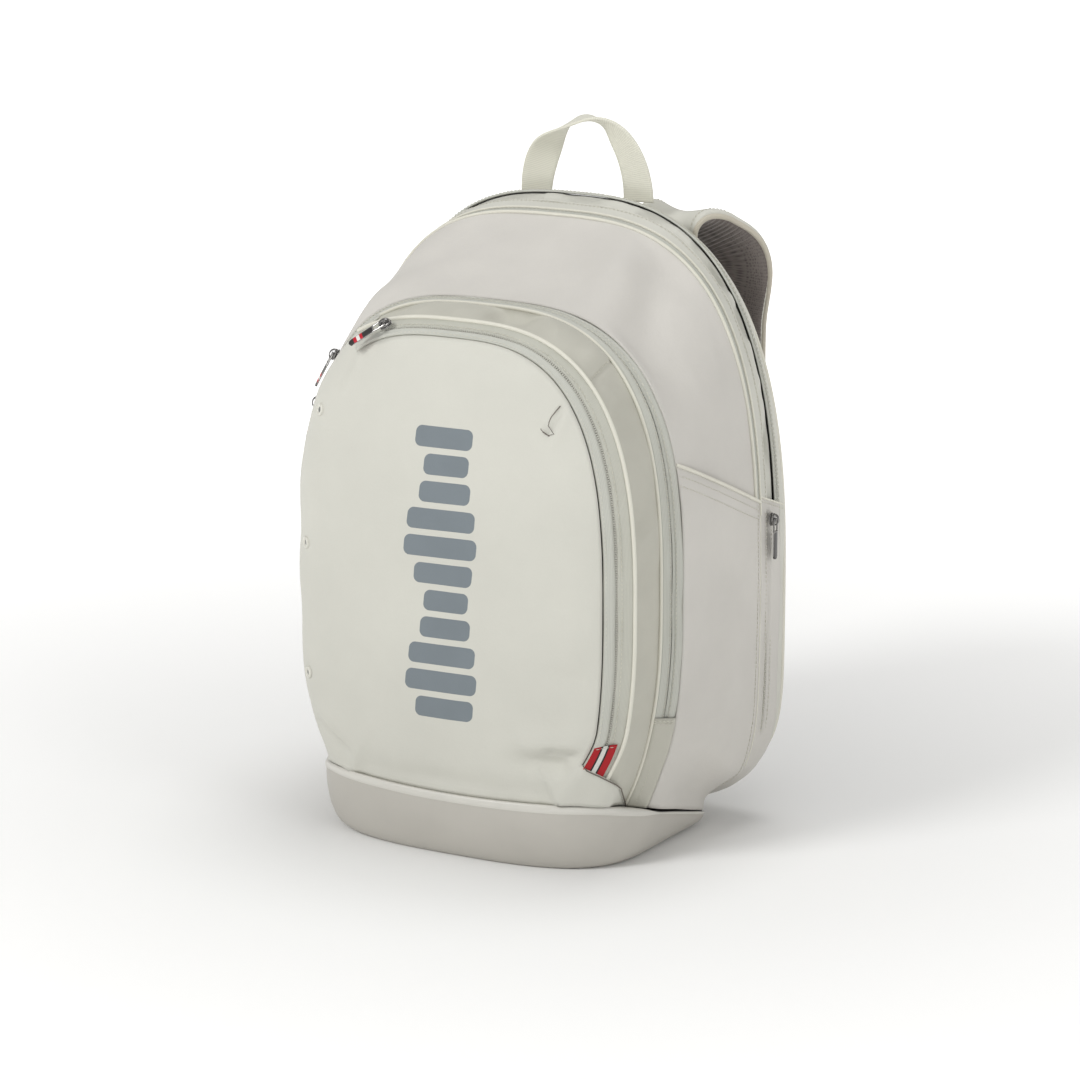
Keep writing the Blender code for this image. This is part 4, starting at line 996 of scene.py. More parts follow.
def second_zip():
    """Two halves of the zip that opens the front section: a welt on it and a strip on the bag."""
    shares = np.linspace(0, 1, 620)
    halves = (("second_zip_front", POCKET_BACK + 0.0004, -0.0450, "front_pocket", "second_zip_tape_front",
               0.0012, 0.04, 0.96), ("second_zip_rear", -0.0445, MAIN_FRONT + 0.0002, "bag",
                                     "second_zip_tape_rear", 0.0009, 0.22, 0.90))
    for name, front, back, body, node, rise, start, end in halves:
        count = 13
        grid = arch_grid(np.linspace(front, back, count), shares)
        v = np.linspace(0, 1, count)[:, None]
        height = rise * smoothstep((v - start) / 0.14) * smoothstep((end - v) / 0.14) - 0.0003
        height = height + ripple(grid, 30.0, 9.0) * 0.0004
        skin(name, grid, body, [node], [WELT], height, 0.0009)
        normals = grid_normals(grid)
        row = count - 3.2 if body == "front_pocket" else 3.4
        stitches(detail(body), line_on(grid, row) + line_on(normals, row) * rise, line_on(normals, row))
    grid = arch_grid((-0.0475, -0.04475, -0.042), shares)
    normals = grid_normals(grid)
    teeth(detail("bag"), grid[1] - normals[1] * 0.0012, normals[1], 1)
    # A dark strip sunk under the zip's opening: painted shade.
    groove = Builder()
    groove.grid(arch_grid((-0.0458, -0.0437), shares) - grid_normals(arch_grid((-0.0458, -0.0437), shares))
                * 0.0018)
    obj = thicken(outwards(groove.make("second_zip_groove", [ZIP_SHADOW])), 0.0004, 0)
    finish_piece(obj, "bag", ())


def lower_bands():
    """Below a bar tack, a plain cloth band closes the lower end of the second zip on each side."""
    line = on_outline(-0.045, np.linspace(0, 0.2, 400))
    end = float(np.interp(BAND_TOP, line[:, 2], np.linspace(0, 0.2, 400)))
    for word, low, high in (("right", 0.0, end), ("left", 1.0, 1.0 - end)):
        depths = np.linspace(POCKET_BACK + 0.0003, MAIN_FRONT + 0.0006, 12)
        grid = arch_grid(depths, np.linspace(low, high, 40))
        v = np.linspace(0, 1, 12)[:, None]
        height = 0.0017 * smoothstep(v / 0.12) * smoothstep((1 - v) / 0.12) + 0.0003
        height = height + ripple(grid, 30.0, 3.0) * 0.0005
        grid = grid + grid_normals(grid) * height[..., None]
        made = Builder()
        made.grid(grid)
        normals = grid_normals(grid)
        tack = Builder()
        stitches(tack, grid[:, -2] + normals[:, -2] * 0.0002, normals[:, -2])
        stitches(tack, grid[:, -3] + normals[:, -3] * 0.0002, normals[:, -3])
        # The bands take the gusset's darker cloth, with its painted shade.
        pieces = ((thicken(outwards(made.make("zip_end_band_" + word, [SHADED_POCKET_GUSSET, LINING])), 0.0010, 1),
                   "shell_fabric"), (tack.make("zip_end_tack_" + word, [PIPING], recalc=True), "zip_tape"))
        for obj, slot in pieces:
            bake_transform(obj)


def ribbon():
    """A striped ribbon sewn over the lower right end of the front zip."""
    line = on_outline(-0.094, np.linspace(0, 0.2, 400))
    end = float(np.interp(RIBBON_TOP, line[:, 2], np.linspace(0, 0.2, 400)))
    depths = np.linspace(FRONT_EDGE + 0.0010, POCKET_FRONT - 0.0026, 15)
    starts = DIAGONAL_SHARE * (1 - ((depths - FRONT_EDGE) / (POCKET_BACK - FRONT_EDGE)) ** (1 / 1.4)) - 0.004
    grid = np.array([on_outline(y, np.linspace(low, end, 40)) for y, low in zip(depths, starts)])
    normals = grid_normals(grid)
    along = np.linspace(0, 1, 40)
    lift = 0.0006 + 0.0012 * smoothstep(along / 0.12) + 0.0003 * smoothstep((along - 0.94) / 0.06)
    grid = grid + normals * lift[None, :, None]
    fold = grid[:, -1:] - normals[:, -1:] * 0.0010
    grid = np.concatenate([grid, fold], 1)
    made = Builder()
    made.grid(grid)
    width = float(np.linalg.norm(grid[-1, 20] - grid[0, 20]))
    obj = thicken(outwards(made.make("ribbon_stripes", [striped_ribbon("ribbon_weave", width)])), 0.0007, 0)
    finish_piece(obj, "front_pocket", ["ribbon_trim"])
    stitches(detail("front_pocket"), grid[1:-1, 37] + normals[1:-1, 37] * 0.0002, normals[1:-1, 37])


EYELET_SHIFT = (0.0035, -0.0095, 0.0)    # the sewn-on panel turns to the front sooner than the solid


def eyelets(shell):
    """Three moulded rings with dark mesh behind, down the left side of the front pocket."""
    tree = BVHTree.FromObject(shell, bpy.context.evaluated_depsgraph_get())
    for i in range(3):
        low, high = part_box("vent_eyelet_%d" % (i + 1))
        centre = (low + high) / 2 + Vector(EYELET_SHIFT)
        point, normal, _, _ = tree.find_nearest(centre)
        if normal.dot(centre - Vector(BODY_CENTRE)) < 0:
            normal = -normal
        turn = normal.to_track_quat("Z", "Y").to_matrix()
        steps = ((0.0018, 0.0002), (0.0024, 0.0006), (0.0029, 0.0012), (0.0035, 0.0015), (0.0042, 0.0012),
                 (0.0046, 0.0006), (0.0047, -0.0004))
        rows = np.array([[point + turn @ Vector((r * math.cos(a), r * math.sin(a), h))
                          for a in np.linspace(0, 2 * math.pi, 40, endpoint=False)] for r, h in steps])
        made = Builder()
        made.grid(rows, 0, close_u=True)
        disc = [point + turn @ Vector((0.0021 * math.cos(a), 0.0021 * math.sin(a), 0.00035))
                for a in np.linspace(0, 2 * math.pi, 40, endpoint=False)]
        made.add(disc, [tuple(range(40))], 1, [(p[0], p[2]) for p in disc])
        obj = outwards(made.make("eyelet_%d" % (i + 1), [EYELET, VENT]), point - normal * 0.01)
        finish_piece(obj, "front_pocket", ["vent_eyelet_%d" % (i + 1)])


# --- main body ---------------------------------------------------------------------------------
def side_inset(y, z):
    edge = min(y - MAIN_FRONT, MAIN_BACK - y) / 0.020
    floor = (z - rim_height(boot_half_width(y), y) - 0.004) / 0.040
    below_hem = (hem_height(y) + 0.002 - z) / 0.012
    slant = 0.0036 * smoothstep((0.11 - z) / 0.08)
    return (0.0030 + slant + POCKET_DEPTH * smoothstep(edge) * smoothstep(floor)) * smoothstep(below_hem)


def main_panel():
    """The big sloping panel from side to side over the main compartment."""
    depths = np.linspace(MAIN_FRONT + 0.0003, MAIN_BACK + 0.0004, 44)
    shares = np.linspace(0, 1, 420)
    grid = arch_grid(depths, shares)
    for i, y in enumerate(depths):
        for j in range(len(shares)):
            x, z = grid[i, j, 0], grid[i, j, 2]
            if z < hem_height(y) + 0.004:
                grid[i, j, 0] = x - math.copysign(side_inset(y, z), x)
    v = np.linspace(0, 1, 44)[:, None]
    bow = (4 * v * (1 - v)) ** 0.8
    top = smoothstep((grid[..., 2] - 0.26) / 0.05)
    height = bow * (ripple(grid, 9.0, 2.5) * 0.0038 + ripple(grid, 22.0, 7.0) * 0.0012 + 0.0012)
    height = height * (0.15 + 0.85 * top) + 0.0006
    x, z = grid[..., 0], grid[..., 2]
    sag = dent(x, z, (0.112, 0.400), (0.015, 0.060), 0.0095, math.radians(25))
    sag -= dent(x, z, (0.075, 0.425), (0.030, 0.020), 0.0028)
    sag += dent(x, z, (-0.075, 0.425), (0.030, 0.012), 0.0045, math.radians(38))
    sag -= dent(x, z, (-0.095, 0.400), (0.030, 0.010), 0.0030, math.radians(40))
    height = height + sag * smoothstep(bow / 0.6)
    obj = skin("main_panel", grid, None, (), [PANEL_CLOTH], height)[0]
    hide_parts("main_side_left", "main_side_right", "main_flap")
    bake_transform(obj)


def main_zip():
    """The main zip: the panel's piped edge, an opening with its coil and painted shade, and a cream tape
    edge.
    """
    shares = np.linspace(0.0, 1.0, 900)
    ring = arch_grid((MAIN_BACK + 0.0006, 0.0575, 0.0582, 0.0590, 0.0605, 0.0622), shares)
    keep = ring[2, :, 2] > hem_height(0.0575) - 0.002
    cols = np.where(keep)[0]
    grid = ring[:, cols]
    height = np.array((-0.0002, -0.0006, -0.0014, -0.0006, 0.0006, 0.0002))[:, None]
    # The opening's rows take the dark groove material: painted shade.
    skin("main_zip_band", grid, "bag", ["main_zip_tape"], [WELT, ZIP_SHADOW], height, 0.0008,
         [0, 1, 1, 0, 0])
    normals = grid_normals(grid)
    teeth(detail("bag"), grid[2] - normals[2] * 0.0012, normals[2], 1)
    stitches(detail("bag"), grid[4] + normals[4] * 0.0006, normals[4])
    piping = Builder()
    line = on_outline(MAIN_BACK + 0.0002, shares)
    normal = grid_normals(arch_grid((MAIN_BACK - 0.002, MAIN_BACK, MAIN_BACK + 0.002), shares))[1]
    piping.tube((line + normal * 0.0009)[cols], 0.0013, 0, 9)
    obj = piping.make("main_flap_piping", [PIPING], recalc=True)
    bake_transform(obj)
    edge = Builder()
    line = on_outline(0.0618, shares)
    normal = grid_normals(arch_grid((0.0598, 0.0618, 0.0630), shares))[1]
    edge.tube((line + normal * 0.0008)[cols], 0.0010, 0, 8)
    finish_piece(edge.make("main_zip_edge", [PIPING], recalc=True), "bag", ())


def side_pockets():
    """Flat slip pockets on both sides, bound along a hem that slopes down to the back."""
    for side, word in ((1, "right"), (-1, "left")):
        depths = np.linspace(MAIN_FRONT + 0.0004, 0.0616, 46)
        rows = []
        for y in depths:
            half = fabric_half(min(y, BOOT_BACK - 1e-4))
            heights = np.linspace(half[0, 1], hem_height(y), 70)
            widths = np.interp(heights, half[:, 1], half[:, 0])
            rows.append(np.stack([side * widths, np.full(70, y), heights], 1))
        grid = np.array(rows)
        v = np.linspace(0, 1, len(depths))[:, None]
        u = np.linspace(0, 1, 70)[None, :]
        bow = (4 * v * (1 - v)) ** 0.6
        hem_slack = 0.0022 * smoothstep((u - 0.75) / 0.25) * bow
        height = bow * (ripple(grid, 12.0, 3.0 + side) * 0.0018 + ripple(grid, 34.0, 5.0 + side) * 0.0006
                        + 0.0006) * smoothstep((1 - u) / 0.1 + 0.35) + hem_slack + 0.0005
        moved = skin("side_pocket_skin_" + word, grid, "bag", ["side_pocket_" + word], [PANEL_CLOTH],
                     height, 0.0013)[1]
        normals = grid_normals(moved)
        made = Builder()
        made.tube(moved[:, -1] + normals[:, -1] * 0.0002, 0.0013, 0, 9)
        finish_piece(made.make("pocket_hem_" + word, [PIPING], recalc=True), "bag", ())
        for col in (67, 65):
            stitches(detail("bag"), moved[:, col] + normals[:, col] * 0.0001, normals[:, col])
        row = len(depths) - 3
        stitches(detail("bag"), moved[row] + normals[row] * 0.0001, normals[row])


def ring_share(y, z, side):
    """Where the closed outline at depth y crosses a height on one side, as a share."""
    line = outline(y, True)
    half = line[:LINE_POINTS // 2 + 1]
    share = float(np.interp(z, half[:, 1], np.linspace(0, 0.5, len(half))))
    return share if side > 0 else 1 - share


def side_point(y, z, side):
    """The point of the closed outline at depth y and height z on one side."""
    return on_outline(y, np.array([ring_share(y, z, side)]), True)[0]


def ring_part(depths, upper, count):
    """Grid of the rings above the side seams, or of what is below them, under the bag."""
    rows = []
    for y in depths:
        right, left = (ring_share(y, side_seam_z(y), s) for s in (1, -1))
        shares = np.linspace(right, left, count) if upper else np.linspace(left - 1, right, count)
        rows.append(on_outline(y, shares, True))
    return np.array(rows)


def rear_gusset():
    """Behind the main zip: a smooth strip whose edge overlaps a puckered one."""
    depths = np.linspace(0.0622, 0.0842, 30)
    grid = ring_part(depths, True, 520)
    v = np.linspace(0, 1, 30)[:, None]
    step = smoothstep((v - 0.47) / 0.035)
    pucker = ripple(grid, 36.0, 2.0, (1, 0.35, 1)) * 0.0044 + ripple(grid, 80.0, 4.0, (1, 0.5, 1)) * 0.0007
    strip = (4 * np.clip((v - 0.47) / 0.53, 0, 1) * (1 - np.clip((v - 0.47) / 0.53, 0, 1))) ** 0.7
    smooth_part = ripple(grid, 20.0, 8.0) * 0.0008 * (1 - step) + 0.0004
    height = smooth_part - 0.0026 * step + strip * (pucker - 0.0014)
    moved = skin("rear_gusset_skin", grid, "bag", ["rear_gusset"], [GUSSET_CLOTH], height)[1]
    normals = grid_normals(grid)
    stitches(detail("bag"), line_on(moved, 11.6), line_on(normals, 12))
    edge = Builder()
    edge.tube(line_on(moved, 13.6) + line_on(normals, 13.6) * 0.0002, 0.0007, 0, 7)
    finish_piece(edge.make("gusset_fold", [SHELL_CLOTH], recalc=True), "bag", ())


def rear_zip():
    """The racket compartment's zip, in front of the back edge."""
    grid = ring_part((0.0842, 0.0857, 0.0868, REAR_ZIP_DEPTH, 0.0880, 0.0890, 0.0903), True, 560)
    height = np.array((0.0000, 0.0009, 0.0006, -0.0002, 0.0006, 0.0009, 0.0001))[:, None]
    # The middle rows take the dark groove material: painted shade in the zip's opening.
    skin("rear_zip_band", grid, "bag", ["rear_zip_tape"], [WELT, ZIP_SHADOW], height, 0.0008,
         [0, 0, 1, 1, 0, 0])
    normals = grid_normals(grid)
    teeth(detail("bag"), grid[3] - normals[3] * 0.0002, normals[3], 1)
    for row in (1, 5):
        stitches(detail("bag"), grid[row] + normals[row] * 0.0009, normals[row])


def side_lower_panel():
    """The plain panel below the gusset, which runs from side to side under the back."""
    depths = np.linspace(0.0618, 0.0903, 26)
    grid = ring_part(depths, False, 420)
    near = fabric_half(MAIN_BACK + 0.0066)
    for i, y in enumerate(depths):
        blend = smoothstep((y - depths[0]) / 0.018)
        ring_x = np.abs(grid[i, :, 0])
        cap = np.interp(grid[i, :, 2], near[:, 1], near[:, 0])
        shrunk = np.where(ring_x > cap, cap + (ring_x - cap) * blend, ring_x)
        grid[i, :, 0] = np.sign(grid[i, :, 0]) * shrunk
    slit = np.exp(-((grid[..., 1] - SIDE_ZIP_DEPTH) / 0.0011) ** 2)
    slit = slit * smoothstep((grid[..., 2] - 0.070) / 0.006) * smoothstep((0.2465 - grid[..., 2]) / 0.004)
    welts = np.exp(-((np.abs(grid[..., 1] - SIDE_ZIP_DEPTH) - 0.0026) / 0.0012) ** 2)
    live = smoothstep((grid[..., 2] - 0.066) / 0.006)
    height = ripple(grid, 14.0, 4.0) * 0.0010 - slit * 0.0016 + welts * live * 0.0006 + 0.0004
    skin("side_lower_panel", grid, "bag", ["side_zip_tape_right", "side_zip_tape_left"],
         [PANEL_CLOTH], height, 0.0013)
    zip_lines = Builder()
    for side in (1, -1):
        line = np.array([side_point(SIDE_ZIP_DEPTH, z, side) for z in np.linspace(*SIDE_COIL, 160)])
        normal = np.array((side, 0.0, 0.0))
        teeth(zip_lines, line - normal * 0.0011, normal, 0)
        # A dark strip along each side zip's slit: painted shade.
        zip_lines.grid(np.stack([line + np.array((-side * 0.0013, dy, 0)) for dy in (-0.0016, 0.0016)]), 1)
        for dy in (-0.0042, 0.0042):
            stitches(zip_lines, line + np.array((side * 0.0006, dy, 0)), normal, 2)
    finish_piece(zip_lines.make("side_zip_coils", [COIL, ZIP_SHADOW, THREAD], recalc=True), "bag", ())
    seam = Builder()
    for side in (1, -1):
        line = np.array([side_point(y, side_seam_z(y), side) for y in np.linspace(0.0612, 0.0985, 30)])
        seam.tube(line + np.array((side * 0.0003, 0, 0)), 0.0008, 0, 7)
        stitches(detail("bag"), line + np.array((side * 0.0010, 0, -0.0032)), np.array((side, 0.0, 0.0)))
    for side in (1, -1):
        line = np.array([side_point(0.0618, z, side) for z in np.linspace(0.048, hem_height(0.0617), 60)])
        seam.tube(line + np.array((side * 0.0003, 0, 0)), 0.0007, 0, 7)
    finish_piece(seam.make("side_seams", [PIPING], recalc=True), "bag", ())


def back_border():
    """The rolled edge round the back, piped where the back panel is sewn in."""
    depths = (0.0902, 0.0915, 0.0935, 0.0955, 0.0972, 0.0985, 0.0994, 0.0999, 0.1000)
    shrink = (1, 1, 1, 1, 0.9995, 0.997, 0.993, 0.987, 0.981)
    rows = []
    shares = np.linspace(0, 1, 480, endpoint=False)
    for y, scale in zip(depths, shrink):
        ring = on_outline(min(y, 0.0998), shares, True)
        middle = section(y)[1]
        ring[:, 0] *= scale
        ring[:, 2] = middle + (ring[:, 2] - middle) * scale
        ring[:, 1] = y
        rows.append(ring)
    grid = np.array(rows)
    height = ripple(grid, 18.0, 6.0) * 0.0008
    skin("back_border", grid, "bag", ["back_edge"], [SHELL_CLOTH], height, 0.0013,
         close_u=True)
    made = Builder()
    ring = on_outline(0.0985, shares, True)
    middle = section(0.0985)[1]
    ring[:, 0] *= 0.990
    ring[:, 2] = middle + (ring[:, 2] - middle) * 0.990
    ring[:, 1] = 0.1004
    made.tube(ring, 0.0017, 0, 10, closed=True)
    finish_piece(made.make("back_piping", [PIPING], recalc=True), "bag", ())


# --- back ----------------------------------------------------------------------------------------
def squircle_grid(centre, half_width, half_height, side, power, depth_of):
    """A square grid mapped to a rounded rectangle in the back's plane; depth_of gives y from r."""
    half = side // 2
    grid = np.zeros((side + 1, side + 1, 3))
    for i in range(side + 1):
        for j in range(side + 1):
            a, b = (i - half) / half, (j - half) / half
            r = max(abs(a), abs(b))
            if r > 0:
                norm = (abs(a) ** power + abs(b) ** power) ** (1 / power)
                a, b = a / norm * r, b / norm * r
            grid[i, j] = (centre[0] + a * half_width, depth_of(r), centre[1] + b * half_height)
    return grid


def back_panel():
    """The panel against the wearer's back, slightly hollow between its pads."""
    outline_ring = on_outline(0.099, np.linspace(0, 1, 481), True)
    middle = section(0.099)[1]
    rows = []
    for scale, y in ((0.982, 0.0998), (0.980, 0.1030), (0.972, 0.1048), (0.955, 0.1056), (0.90, 0.1058),
                     (0.80, 0.1057), (0.65, 0.1056), (0.45, 0.1056), (0.25, 0.1056), (0.08, 0.1056)):
        ring = outline_ring[:-1].copy()
        ring[:, 0] *= scale
        ring[:, 2] = middle + (ring[:, 2] - middle) * scale
        ring[:, 1] = y
        rows.append(ring)
    grid = np.array(rows)
    made = Builder()
    made.grid(grid, 0, close_u=True, uvs=grid[..., (0, 2)])
    count = grid.shape[1]
    last = len(made.verts) - count
    made.faces.append(tuple(last + j for j in range(count)))
    made.mats.append(0)
    made.uvs.extend((made.verts[last + j][0], made.verts[last + j][2]) for j in range(count))
    obj = made.make("back_cloth", [BACK_CLOTH, LINING], recalc=False)
    outwards(obj, np.array((0, 0.05, 0.22)))
    thicken(obj, 0.0016, 1)
    finish_piece(obj, "bag", ["back_panel"])


RIB_PITCH, RIB_RISE = 0.0042, 0.0006


def back_pads():
    """Three foam pads under ribbed mesh, each tucked in along a piped seam."""
    pads = (("back_pad_right", 5.0), ("back_pad_left", 5.0), ("lumbar_pad", 4.0))
    for node, power in pads:
        low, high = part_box(node)
        centre = ((low.x + high.x) / 2, (low.z + high.z) / 2)
        half_width, half_height = (high.x - low.x) / 2, (high.z - low.z) / 2
        rise = high.y - low.y
        side = 128 if node != "lumbar_pad" else 96
        grid = squircle_grid(centre, half_width, half_height, side, power,
                             lambda r: low.y - 0.0002 + rise * (1 - r ** 7) ** 0.55)
        ribs = np.cos(grid[..., 2] * 2 * math.pi / RIB_PITCH)
        inside = smoothstep((grid[..., 1] - low.y) / rise * 2.2 - 0.5)
        channel = np.exp(-((grid[..., 2] - centre[1]) / 0.004) ** 2) if half_height > 0.06 else 0.0
        soft = ripple(grid, 16.0, 5.0) * 0.0012
        grid[..., 1] += inside * (RIB_RISE * ribs - 0.0045 * channel + soft)
        made = Builder()
        made.grid(grid, 0, uvs=grid[..., (0, 2)])
        obj = outwards(made.make(node + "_cover", [AIR_MESH]), np.array((centre[0], 0.05, centre[1])))
        thicken(obj, 0.0008, 0)
        finish_piece(obj, "bag", [node])
        ring = [grid[i, j] for i, j in square_ring(side // 2, side)]
        edge = Builder()
        edge.tube(np.array(ring) + np.array((0, 0.0008, 0)), 0.0015, 0, 9, closed=True)
        finish_piece(edge.make(node + "_piping", [BINDING], recalc=True), "bag", ())


# --- handle and straps ---------------------------------------------------------------------------
HANDLE_HALF_SPAN, HANDLE_RISE = 0.0435, 0.0590
HANDLE_BASE = (0.1080, 0.4600)
HANDLE_TURN = ((0.0, 4), (0.12, 20), (0.24, 52), (0.34, 96), (0.42, 122), (0.52, 140), (0.70, 160),
               (0.85, 172), (1.0, 180))
WEBBING_WIDTH, WEBBING_THICK = 0.025, 0.0022
STRAP_ROUTE = ((0.048, 0.1118, 0.403), (0.053, 0.1140, 0.428), (0.066, 0.1290, 0.446),
               (0.082, 0.1480, 0.437),
               (0.096, 0.163, 0.412), (0.092, 0.163, 0.362), (0.096, 0.157, 0.290),
               (0.108, 0.146, 0.215), (0.119, 0.134, 0.158))
STRAP_WIDTH, STRAP_THICK = 0.062, 0.011
LEFT_STRAP_DROP = 0.011
DROP_SHARES = (0.0, 0.8, 1.0, 0.8, 0.4, 0.0, 0.0, 0.0, 0.0)


def band_rings(centres, wides, thicks, corner=0.3, per_side=10, per_end=3):
    """Rings of a flat band with rounded edges, from centres and half vectors."""
    rings = []
    for centre, wide, thick in zip(centres, wides, thicks):
        ring = [centre - wide * t + thick for t in np.linspace(-1 + corner / 8, 1 - corner / 8, per_side)]
        for a in np.linspace(math.pi / 2, -math.pi / 2, per_end + 2)[1:-1]:
            ring.append(centre - wide * (1 - corner / 8 + corner / 8 * math.cos(a)) + thick * math.sin(a))
        ring += [centre + wide * t - thick for t in np.linspace(-1 + corner / 8, 1 - corner / 8, per_side)]
        for a in np.linspace(-math.pi / 2, math.pi / 2, per_end + 2)[1:-1]:
            ring.append(centre + wide * (1 - corner / 8 + corner / 8 * math.cos(a)) + thick * math.sin(a))
        rings.append(ring)
    return np.array(rings)


def band_uvs(rings):
    return np.stack(np.meshgrid(run_along(rings[0]), run_along(rings.mean(1))), 2)


def haul_handle():
    """Folded webbing: the band makes half a turn from foot to foot."""
    count = 140
    t = np.linspace(0, 1, count)
    x = -HANDLE_HALF_SPAN * np.cos(math.pi * t)
    z = HANDLE_BASE[1] + HANDLE_RISE * np.sin(math.pi * t)
    centres = np.stack([x, np.full(count, HANDLE_BASE[0]), z], 1)
    ahead = unit_rows(np.gradient(centres, axis=0))
    turn = np.radians(np.interp(t, *zip(*HANDLE_TURN)))
    for _ in range(40):
        turn[1:-1] = (turn[:-2] + 2 * turn[1:-1] + turn[2:]) / 4
    wides = np.stack([np.cos(turn), np.sin(turn), np.zeros(count)], 1)
    wides -= ahead * (wides * ahead).sum(1, keepdims=True)
    wides *= WEBBING_WIDTH / 2 / np.linalg.norm(wides, axis=1, keepdims=True)
    thicks = np.cross(ahead, wides)
    thicks *= WEBBING_THICK / 2 / np.linalg.norm(thicks, axis=1, keepdims=True)
    rings = band_rings(centres, wides, thicks)
    made = Builder()
    made.ring_faces(rings, 0, band_uvs(rings))
    finish_piece(made.make("haul_handle_webbing", [WEBBING], recalc=True), "handle", ["haul_handle"])


def spline_points(route, count):
    pts = [2 * Vector(route[0]) - Vector(route[1])] + [Vector(p) for p in route]
    pts.append(2 * Vector(route[-1]) - Vector(route[-2]))
    out = []
    for i in range(count):
        u = i / (count - 1) * (len(route) - 1)
        k = min(int(u), len(route) - 2)
        t = u - k
        a, b, c, d = pts[k:k + 4]
        out.append(0.5 * (2 * b + (c - a) * t + (2 * a - 5 * b + 4 * c - d) * t ** 2
                          + (3 * b - a - 3 * c + d) * t ** 3))
    return out


def strap_frames(side, count):
    """Centres, unit width and unit normal along a padded strap, and its half width and thickness."""
    drop = LEFT_STRAP_DROP if side < 0 else 0.0
    route = [(x, y, z - drop * share) for (x, y, z), share in zip(STRAP_ROUTE, DROP_SHARES)]
    points = np.array(spline_points(route, 400))
    points = resample(points, count)
    for _ in range(6):
        points[1:-1] = (points[:-2] + 2 * points[1:-1] + points[2:]) / 4
    ahead = unit_rows(np.gradient(points, axis=0))
    across = unit_rows(np.array((1.0, 0, 0)) - ahead * ahead[:, :1])
    normal = np.cross(across, ahead)
    share = np.linspace(0, 1, count)
    narrow = 1 - 0.22 * smoothstep((share - 0.6) / 0.4) - 0.20 * smoothstep((0.16 - share) / 0.16)
    thick = STRAP_THICK / 2 * (0.7 + 0.3 * np.clip(share / 0.12, 0, 1))
    mirror = np.array((side, 1.0, 1.0))
    return points * mirror, across * mirror, normal * mirror, STRAP_WIDTH / 2 * narrow, thick


STRAP_AROUND = 52


def shoulder_straps():
    """Padded straps: cream cloth outside, ribbed mesh inside, and a bound edge all round."""
    count = 560
    angles = np.linspace(0, 2 * math.pi, STRAP_AROUND, endpoint=False)
    for side, word in ((1, "right"), (-1, "left")):
        centres, across, normal, half, thick = strap_frames(side, count)
        cosine, sine = np.cos(angles), np.sin(angles)
        wide_at = np.sign(cosine) * np.abs(cosine) ** 0.42
        high_at = np.sign(sine) * np.abs(sine) ** 0.55
        run = run_along(centres)
        ends = smoothstep(np.minimum(np.arange(count), np.arange(count)[::-1]) / 9.0)
        inner = (sine < -0.30)
        rib = np.cos(run * 2 * math.pi / 0.0038)[:, None] * 0.0005 * inner[None, :] \
            * (1 - np.abs(wide_at[None, :])) ** 0.25
        crown = 1 + 0.10 * (1 - wide_at ** 2)
        body = 0.55 + 0.45 * ends
        rings = (centres[:, None] + across[:, None] * (half[:, None] * wide_at[None, :])[..., None]
                 + normal[:, None] * ((thick * body)[:, None] * (high_at * crown)[None, :] - rib)[..., None])
        grid = rings.reshape(count, STRAP_AROUND, 3)
        soft = ripple(grid, 20.0, 3.0) * 0.0009
        grid = grid + normal[:, None] * soft[..., None]
        mats = [1 if inner[k] and inner[(k + 1) % STRAP_AROUND] else 0 for k in range(STRAP_AROUND)]
        uvs = np.stack(np.meshgrid(np.cumsum(np.full(STRAP_AROUND, 2 * STRAP_WIDTH / STRAP_AROUND)), run), 2)
        faces, kinds = [], []
        for i in range(count - 1):
            for k in range(STRAP_AROUND):
                m = (k + 1) % STRAP_AROUND
                faces.append((i * STRAP_AROUND + k, (i + 1) * STRAP_AROUND + k,
                              (i + 1) * STRAP_AROUND + m, i * STRAP_AROUND + m))
                kinds.append(mats[k])
        faces += [tuple(range(STRAP_AROUND)), tuple((count - 1) * STRAP_AROUND + k
                                                    for k in reversed(range(STRAP_AROUND)))]
        made = Builder()
        made.add(grid.reshape(-1, 3), faces, kinds + [0, 0], uvs.reshape(-1, 2))
        obj = made.make("strap_pad_" + word, [SHELL_CLOTH, AIR_MESH], recalc=True)
        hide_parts("strap_root_" + word, "shoulder_strap_" + word)
        strap_blend(obj)
        edges = Builder()
        for end in (-1, 1):
            line = centres + across * (half * end)[:, None] - normal * (thick * 0.25)[:, None]
            edges.tube(line, 0.0021 * body, 0, 10)
        obj = edges.make("strap_binding_" + word, [BINDING], recalc=True)
        strap_blend(obj)
        rows = Builder()
        for end in (-1, 1):
            line = centres + across * (half * end * 0.86)[:, None] + normal * thick[:, None]
            stitches(rows, line[12:-8], normal[12:-8])
        first, last = int(count * 0.52), int(count * 0.985)
        lift = (thick[first:last] * 1.12 + 0.0004)[:, None]
        strip = band_rings(centres[first:last] + normal[first:last] * lift,
                           across[first:last] * 0.0105, normal[first:last] * 0.0008)
        rows.ring_faces(strip, 1, band_uvs(strip))
        obj = rows.make("strap_stitching_" + word, [THREAD, WEBBING], recalc=True)
        strap_blend(obj)
    lower_webbing()


def strap_blend(obj):
    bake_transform(obj)


